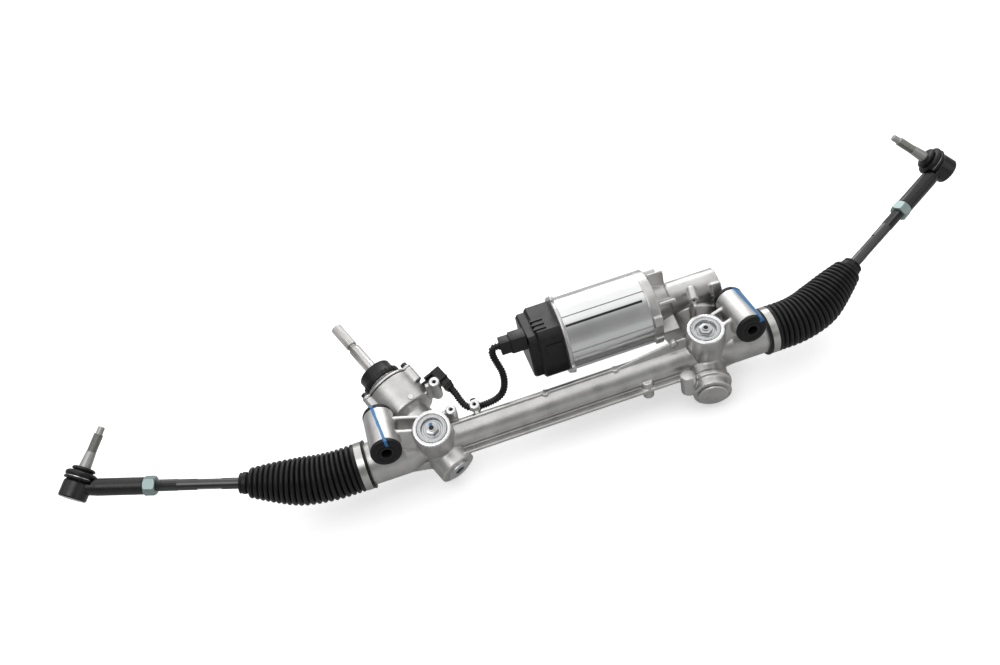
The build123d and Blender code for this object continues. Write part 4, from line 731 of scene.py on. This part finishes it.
LEFT_YOKE = frame_of((LEFT_X, 0, 0), tilt_direction(LEFT_TILT), ALONG_X)
RIGHT_YOKE = frame_of((RIGHT_X, 0, 0), tilt_direction(RIGHT_TILT), ALONG_X)
STEERING = shaft_frame(LEFT_X, LEFT_TILT, STEERING_LEAN, STEERING_OFFSET)
ASSIST = shaft_frame(RIGHT_X, RIGHT_TILT, ASSIST_LEAN, ASSIST_OFFSET)
MOTOR = motor_frame(ASSIST)
TIES = {
    "left": (-1, *tie_directions(-1, *LEFT_TIE)),
    "right": (1, *tie_directions(1, *RIGHT_TIE)),
}


def tie_frame(name):
    """A tie rod's frame at its inner ball, with Z along the rod."""
    side, out, up = TIES[name]
    return frame_of((side * INNER_BALL_X, 0, 0), out, up)


def stud_frame(name):
    """A ball stud's frame at its ball, with Z up the stud."""
    side, out, up = TIES[name]
    lean = radians(STUD_LEAN)
    origin = Vector((side * INNER_BALL_X, 0, 0)) + out * TIE_LENGTH
    return frame_of(origin, up * cos(lean) - out * sin(lean), out)


# Bellows: each in two pieces, the folds and the tip
FOLDS = 20
SEAM_FOLD = 11
FOLD_DEPTH = 4.6
CREST = 34.2
END_CREST = 20.5
TAPER_FROM = 0.48
BEND = 40.0
TIP_AT = 95.0
TIP_CUFF = 13.0
CUFF = 21.0
STEPS_PER_FOLD = 8
TAPER_POWER = 1.4
CREST_POWER = 0.6
DEPTH_LOSS = 0.25
CURVE_SPARE = 5.0
STRAIGHT_HANDLE = 0.3
CORNER_HANDLE = 0.667
BELLOWS_LENGTH = INNER_BALL_X - HOUSING_END + TIP_AT
LARGE_CUFF = (
    (-CUFF, 30.3), (-CUFF, 34.3), (-CUFF + 1.2, 34.8), (-CUFF + 2.6, 34.3), (-CUFF + 3.1, 33.2),
    (-5.5, 33.2), (-4, 34.0), (-2.6, 34.2), (-1.4, 33.4), (0, 30.6),
)
SMALL_CUFF = (
    (0, 17.0), (1.2, 14.6), (2.4, 13.6), (10.5, 13.6),
    (11.2, 14.4), (12.4, 14.4), (TIP_CUFF, 13.4), (TIP_CUFF, 8.1),
)


def fold_points(first, last):
    """The folds' outline: round crests and narrow valleys, smaller towards the rod."""
    points = []
    for step in range(first * STEPS_PER_FOLD, last * STEPS_PER_FOLD + 1):
        share = step / (STEPS_PER_FOLD * FOLDS)
        fall = max(0.0, (share - TAPER_FROM) / (1 - TAPER_FROM)) ** TAPER_POWER
        crest = CREST + (END_CREST - CREST) * fall
        rise = abs(sin(pi * step / STEPS_PER_FOLD)) ** CREST_POWER
        depth = FOLD_DEPTH * (1 - DEPTH_LOSS * fall) * (1 - rise)
        points.append((share * BELLOWS_LENGTH, crest - depth))
    return points


def bellows_curve(name):
    """The bellows' centre line: straight from the housing, round the inner ball, straight along the rod."""
    side, out, up = TIES[name]
    corner = Vector((side * INNER_BALL_X, 0, 0))
    start = Vector((side * HOUSING_END, 0, 0))
    along = ALONG_X * side
    end = corner + out * (TIP_AT + TIP_CUFF + CURVE_SPARE)
    stops = [start, corner - along * BEND, corner + out * BEND, end]
    curve, spline = new_curve(len(stops), resolution=48)
    for point, stop, head in zip(spline.bezier_points, stops, (along, along, out, out)):
        point.handle_left_type = point.handle_right_type = "FREE"
        point.co = at(stop)
        point.handle_left = at(stop - head * BEND * STRAIGHT_HANDLE)
        point.handle_right = at(stop + head * BEND * STRAIGHT_HANDLE)
    spline.bezier_points[1].handle_right = at(stops[1] + along * BEND * CORNER_HANDLE)
    spline.bezier_points[2].handle_left = at(stops[2] - out * BEND * CORNER_HANDLE)
    return curve


def folded(name, outline, curve):
    """A rubber sleeve turned about X from (place, radius) points, and then bent along a curve."""
    piece = spun([(x, 0, radius) for x, radius in outline], (1, 0, 0), steps=72)
    piece.data.transform(Matrix.Scale(MM, 4))
    bend_along(piece, curve)
    return settle(piece, name, Matrix.Identity(4), black_rubber, None, angle=60)


def make_bellows(name):
    side, out, up = TIES[name]
    curve = bellows_curve(name)
    inner = folded(name + "_bellows_folds", [*LARGE_CUFF, *fold_points(0, SEAM_FOLD)[1:]], curve)
    tip = [(BELLOWS_LENGTH + x, radius) for x, radius in SMALL_CUFF]
    outer = folded(name + "_bellows_tip", fold_points(SEAM_FOLD, FOLDS)[:-1] + tip, curve)
    bpy.data.objects.remove(curve)
    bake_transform(inner)
    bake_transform(outer)
    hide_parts(name + "_bellows")


for side_name in TIES:
    make_bellows(side_name)


# Mounting eyes: each blue stripe has a place, a lean and half a width
EYE_BUSH_HALF = (
    (8.6, 37.0), (9.6, 38.2), (12.4, 40.0), (18.6, 40.0),
    (21.0, 38.8), (21.7, 36.6), (21.5, 33.4), (17.0, 33.2),
)
STRIPES = (((-262.79, 0, 0), 0.1, 3.1), ((274.6, 0, 0), 0.062, 4.8))


def make_the_eye_bush(name, side):
    eye = frame_of((side * EYE_X, 0, MOUNT_RISE), ALONG_Y, ALONG_X)
    bush = [(radius, -height) for radius, height in EYE_BUSH_HALF] + list(EYE_BUSH_HALF[::-1])
    return turned(name, eye, bush, eye_rubber, "housing", steps=72)


def paint_the_stripes():
    for place, lean, half_width in STRIPES:
        values = {"Origin": at(place), "Across": Vector((1, lean, 0)).normalized(), "Half": half_width * MM}
        for painted in (cast, eye_rubber):
            mask = use_group(painted.node_tree, STRIPE, values)["Mask"]
            lay_over(painted, mask, BLUE_PAINT, 0.45, 0.0)


left_bush = make_the_eye_bush("left_eye_bush", -1)
make_the_eye_bush("right_eye_bush", 1)
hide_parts("mount_bushes")
paint_the_stripes()


# The splined shaft, with painted shade in the grooves between its teeth
shaft = copy_of("input_shaft", "splined_shaft", "input")
bpy.ops.object.shade_smooth_by_angle(angle=radians(25))
give_finish(shaft, splined_steel)

# Rack yokes' plugs, each with a scale of marks, a nut on a washer, and a stud with a socket
LEFT_PLUG_TOP = 55.0
RIGHT_PLUG_TOP = 53.0
PLUG_OUTLINE = (
    (3.5, -12), (20.2, -12), (20.2, -0.7), (19.7, -0.2), (15.8, -0.2),
    (15.2, -0.7), (14.7, -5.2), (14.2, -6), (3.5, -6),
)
MARK_SIZE = (2.2, 0.5, 0.3)
MARK_RADIUS = 18.2
MARK_COUNT = 60
SOCKET_OUTLINE = ((0, -2), (3.15, -2), (3.15, 1.6), (0, 1.2))
STUD_OUTLINE = ((0, -6), (5.2, -6), (5.2, 2.3), (4.8, 2.8), (3.5, 2.8), (3.2, 2.3), (3.2, -3), (0, -3))
WASHER_OUTLINE = ((4.5, -6), (12.4, -6), (12.4, -4.9), (11.6, -4.3), (4.5, -4.3))
NUT_RADIUS = 9.8
NUT_HEIGHT = 5.5
NUT_MIDDLE = -1.75
NUT_BEVEL = 0.9


def raised(outline, height):
    """An outline of (radius, rise) points, moved up to a height."""
    return [(radius, height + rise) for radius, rise in outline]


def make_the_plug(side_name, yoke, top):
    turned(side_name + "_plug", yoke, raised(PLUG_OUTLINE, top), dial, "housing", steps=96)
    mark_at = (MARK_RADIUS, 0, top - 0.25)
    ring_of_blocks(side_name + "_marks", yoke, MARK_SIZE, mark_at, MARK_COUNT, marks, "housing")
    socket = raised(SOCKET_OUTLINE, top)
    turned(side_name + "_stud_socket", yoke, socket, black_plastic, "housing", steps=32)
    turned(side_name + "_stud_ring", yoke, raised(STUD_OUTLINE, top), nut_steel, "housing", steps=48)


def make_the_nut(side_name, yoke, top):
    clear_selection()
    place = (0, 0, top + NUT_MIDDLE)
    bpy.ops.mesh.primitive_cylinder_add(vertices=6, radius=NUT_RADIUS, depth=NUT_HEIGHT, location=place)
    bpy.ops.object.transform_apply(location=True)
    round_edges(NUT_BEVEL)
    settle(bpy.context.object, side_name + "_nut", yoke, nut_steel, "housing")
    turned(side_name + "_washer", yoke, raised(WASHER_OUTLINE, top), nut_steel, "housing")


for plug in (("left", LEFT_YOKE, LEFT_PLUG_TOP), ("right", RIGHT_YOKE, RIGHT_PLUG_TOP)):
    make_the_plug(*plug)
    make_the_nut(*plug)
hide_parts("yoke_plugs")
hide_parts("yoke_nuts")

# The blue spot on the left nut, and the castings' machined faces: each has a yoke's frame, a place
# in it, the yoke's tilt, how high it lies, and how wide it is
CLIP_BOSS = (66.0, 27.0)
NUT_SPOT = (LEFT_YOKE, (0.4, 5.4), LEFT_TILT, 50.0, 2.8)
MACHINED_FACES = (
    (LEFT_YOKE, (0, 0), LEFT_TILT, 54.3, 27.5),
    (RIGHT_YOKE, (0, 0), RIGHT_TILT, 52.3, 27.5),
    (LEFT_YOKE, (22.4, 72.0), LEFT_TILT, 35.4, 8.2),
    (LEFT_YOKE, (32.6, 26.0), LEFT_TILT, 32.4, 8.2),
    (LEFT_YOKE, CLIP_BOSS, LEFT_TILT, 20.4, 8.2),
)


def face_mask(material, yoke, place, tilt, height, radius):
    """Where a casting or a nut ends in a face, above a height along the yoke's tilt."""
    values = {
        "Origin": yoke @ Vector((*place, 0)),
        "Axis": tilt_direction(tilt),
        "Height": height * MM,
        "Radius": radius * MM,
    }
    return use_group(material.node_tree, FACE, values)["Mask"]


lay_over(nut_steel, face_mask(nut_steel, *NUT_SPOT), BLUE_PAINT, 0.4, 0.0)
for machined_face in MACHINED_FACES:
    lay_over(cast, face_mask(cast, *machined_face), FACED, 0.26, 1.0)

# The lead in its corrugated conduit, from the sensor's plug to the controller's. It starts with two
# places in the steering shaft's frame
LEAD_PITCH = 3.6
LEAD_CREST = 5.2
LEAD_ROOT = 4.0
LEAD_START = ((12, 66, 50), (12, 66, 39))
LEAD_POINTS = (
    (-146.0, 47.5, 16.0),
    (-141.0, 39.5, 10.0),
    (-132.5, 34.0, 7.5),
    (-121.0, 30.5, 9.5),
    (-108.0, 28.0, 12.5),
    (-96.0, 27.0, 16.5),
    (-86.5, 27.5, 23.5),
    (-80.5, 31.0, 35.0),
    (-78.5, 36.5, 49.5),
    (-81.5, 43.0, 63.5),
    (-84.0, 48.0, 75.0),
    (-82.0, 51.0, 84.5),
    (-71.0, 51.0, 86.0),
)
RIDGE = (
    (0, LEAD_ROOT), (0.18, LEAD_ROOT), (0.32, LEAD_CREST),
    (0.72, LEAD_CREST), (0.86, LEAD_ROOT), (1, LEAD_ROOT),
)


def make_the_lead():
    stops = [STEERING @ Vector(point) for point in LEAD_START] + [at(point) for point in LEAD_POINTS]
    curve, spline = new_curve(len(stops), resolution=24)
    for point, stop in zip(spline.bezier_points, stops):
        point.co = stop
        point.handle_left_type = point.handle_right_type = "AUTO"
    bpy.context.view_layer.update()
    length = spline.calc_length()
    count = int(length / (LEAD_PITCH * MM))
    pitch = length / MM / count
    piece = spun([(pitch * share, 0, radius) for share, radius in RIDGE], (1, 0, 0), steps=20)
    piece.data.transform(Matrix.Scale(MM, 4))
    rows = piece.modifiers.new("corrugations", "ARRAY")
    rows.count = count
    rows.use_relative_offset = False
    rows.use_constant_offset = True
    rows.constant_offset_displace = (pitch * MM, 0, 0)
    rows.use_merge_vertices = True
    rows.merge_threshold = 0.0001
    bend_along(piece, curve)
    settle(piece, "corrugated_lead", Matrix.Identity(4), black_plastic, "housing", ("sensor_lead",), angle=60)
    bpy.data.objects.remove(curve)


make_the_lead()

# The lead's clip, a band on a tab beside its boss
CLIP_AT = (-126.75, 32.25, 8.1)
CLIP_BAND = ((5.3, -4), (6.4, -4), (6.7, -3.2), (6.7, 3.2), (6.4, 4), (5.3, 4))
CLIP_TAB = (((8, 2.4, 17), (0, 9.1, 8)), ((5, 3.4, 3), (0, 9.3, 15)))
band = frame_of(CLIP_AT, at(LEAD_POINTS[3]) - at(LEAD_POINTS[2]), ALONG_Z)
turned("clip_band", band, CLIP_BAND, black_plastic, "housing", ("lead_clip",))
tab = LEFT_YOKE @ Matrix.Translation((*CLIP_BOSS, 0))
moulded("clip_tab", tab, CLIP_TAB, black_plastic, "housing", bevel=0.4)

# A small round pad on the side of the bell
PAD_TURN = 16.0
PAD_AT = (39.4, 0, 68)
PAD_OUTLINE = ((0, -1), (4.6, -1), (4.4, 1.4), (3.9, 1.9), (0, 1.9))
round_the_bell = STEERING @ Matrix.Rotation(radians(PAD_TURN), 4, "Z")
pad = round_the_bell @ Matrix.Translation(PAD_AT) @ Matrix.Rotation(pi / 2, 4, "Y")
turned("bell_pad", pad, PAD_OUTLINE, cast, "housing")

# The lead's plugs, each of blocks with a size and a centre
CONTROLLER_PLUG_AT = frame_of((-34, 51, 85), -ALONG_X, ALONG_Y)
CONTROLLER_PLUG = (
    ((21, 24, 22), (0, 0, 11)),
    ((19, 25.5, 3), (0, 0, 21)),
    ((17, 21, 16), (0, 0, 29.5)),
    ((12, 3, 12), (0, 12.4, 8)),
    ((4, 2.5, 20), (-5, 12.2, 14)),
)
SENSOR_PLUG = (
    ((20, 14, 19), (12, 65.5, 77)),
    ((21.5, 15.5, 3), (12, 65.5, 67)),
    ((16, 13, 13), (12, 66, 60)),
    ((18, 14.5, 2), (12, 66, 57)),
    ((13, 12, 5), (12, 66, 52.5)),
    ((17, 22, 15), (0, 50, 79)),
    ((7, 18, 4), (9, 56, 88)),
    ((3, 15.4, 15), (15, 65.5, 77)),
)
moulded("controller_plug", CONTROLLER_PLUG_AT, CONTROLLER_PLUG, black_plastic, "housing", ("ecu_plug",))
moulded("sensor_connector", STEERING, SENSOR_PLUG, black_plastic, "housing", ("sensor_plug",))

# Input shaft's dust cap, with its ribbed skirt, and the black seal of the bell's cover
CAP_OUTLINE = (
    (23, 126), (28.6, 126), (29.1, 127), (29.1, 133.4), (28.2, 134.8), (26.0, 135.2),
    (25.4, 136.4), (25.4, 148.7), (24.6, 149.8), (21.6, 150), (20.4, 148.7), (13.2, 145.4),
    (9.4, 145.0), (9.4, 142), (20.4, 142), (20.4, 129), (23, 129),
)
RIB_SIZE = (1.6, 2.6, 7.2)
RIB_AT = (29.1, 0, 130.2)
RIB_COUNT = 28
SEAL_OUTLINE = ((38.5, 111.2), (40.35, 111.2), (40.35, 112.5), (38.5, 112.5))
turned("ribbed_cap", STEERING, CAP_OUTLINE, black_plastic, "housing", ("dust_cap",), steps=72)
ring_of_blocks("cap_ribs", STEERING, RIB_SIZE, RIB_AT, RIB_COUNT, black_plastic, "housing", 0.3)
turned("bell_seal", STEERING, SEAL_OUTLINE, black_plastic, "housing")

# The motor's black strip
STRIP_TURN = 131.0
STRIP = (((1.6, 3.4, 114), (54.0, 0, 80)),)
strip = MOTOR @ Matrix.Rotation(radians(STRIP_TURN), 4, "Z")
moulded("motor_strip", strip, STRIP, black_plastic, "housing", bevel=0.5)

# Outer joints: boots with their springs, and threads by start, turns, pitch, root and crest
BOOT_OUTLINE = (
    (14.5, 9.2), (17.0, 9.2), (20.6, 9.6), (21.5, 11.2), (20.8, 12.6), (18.8, 13.2),
    (20.2, 14.0), (21.3, 15.8), (21.5, 18.0), (20.5, 20.2), (17.6, 21.8), (13.6, 22.5),
    (13.4, 23.2), (15.4, 24.0), (15.9, 25.4), (15.3, 26.9), (13.2, 28.3), (8.4, 28.9),
    (8.4, 26.5), (12.2, 25.6), (11.6, 21.5), (16.6, 19.6), (18.8, 17.5), (16.8, 13.4), (16.0, 11.0),
)
BOOT_SPRING = ((18.6, 12.7), (19.9, 12.7), (19.9, 13.7), (18.6, 13.7))
STUD_THREAD = (51.2, 17, 1.5, 6.05, 6.45)
ROD_THREAD = (193.0, 16, 1.75, 7.85, 8.3)


def make_the_outer_joint(name):
    joint = stud_frame(name)
    rod = name + "_rod"
    stud = name + "_stud"
    replaced = (name + "_end_boot",)
    boot = turned(name + "_joint_boot", joint, BOOT_OUTLINE, black_rubber, None, replaced, angle=60)
    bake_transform(boot)
    turned(name + "_boot_spring", joint, BOOT_SPRING, stainless, rod)
    threaded(name + "_stud_thread", joint, *STUD_THREAD, thread_steel, stud)
    threaded(name + "_rod_thread", tie_frame(name), *ROD_THREAD, black_paint, rod)


for side_name in TIES:
    make_the_outer_joint(side_name)
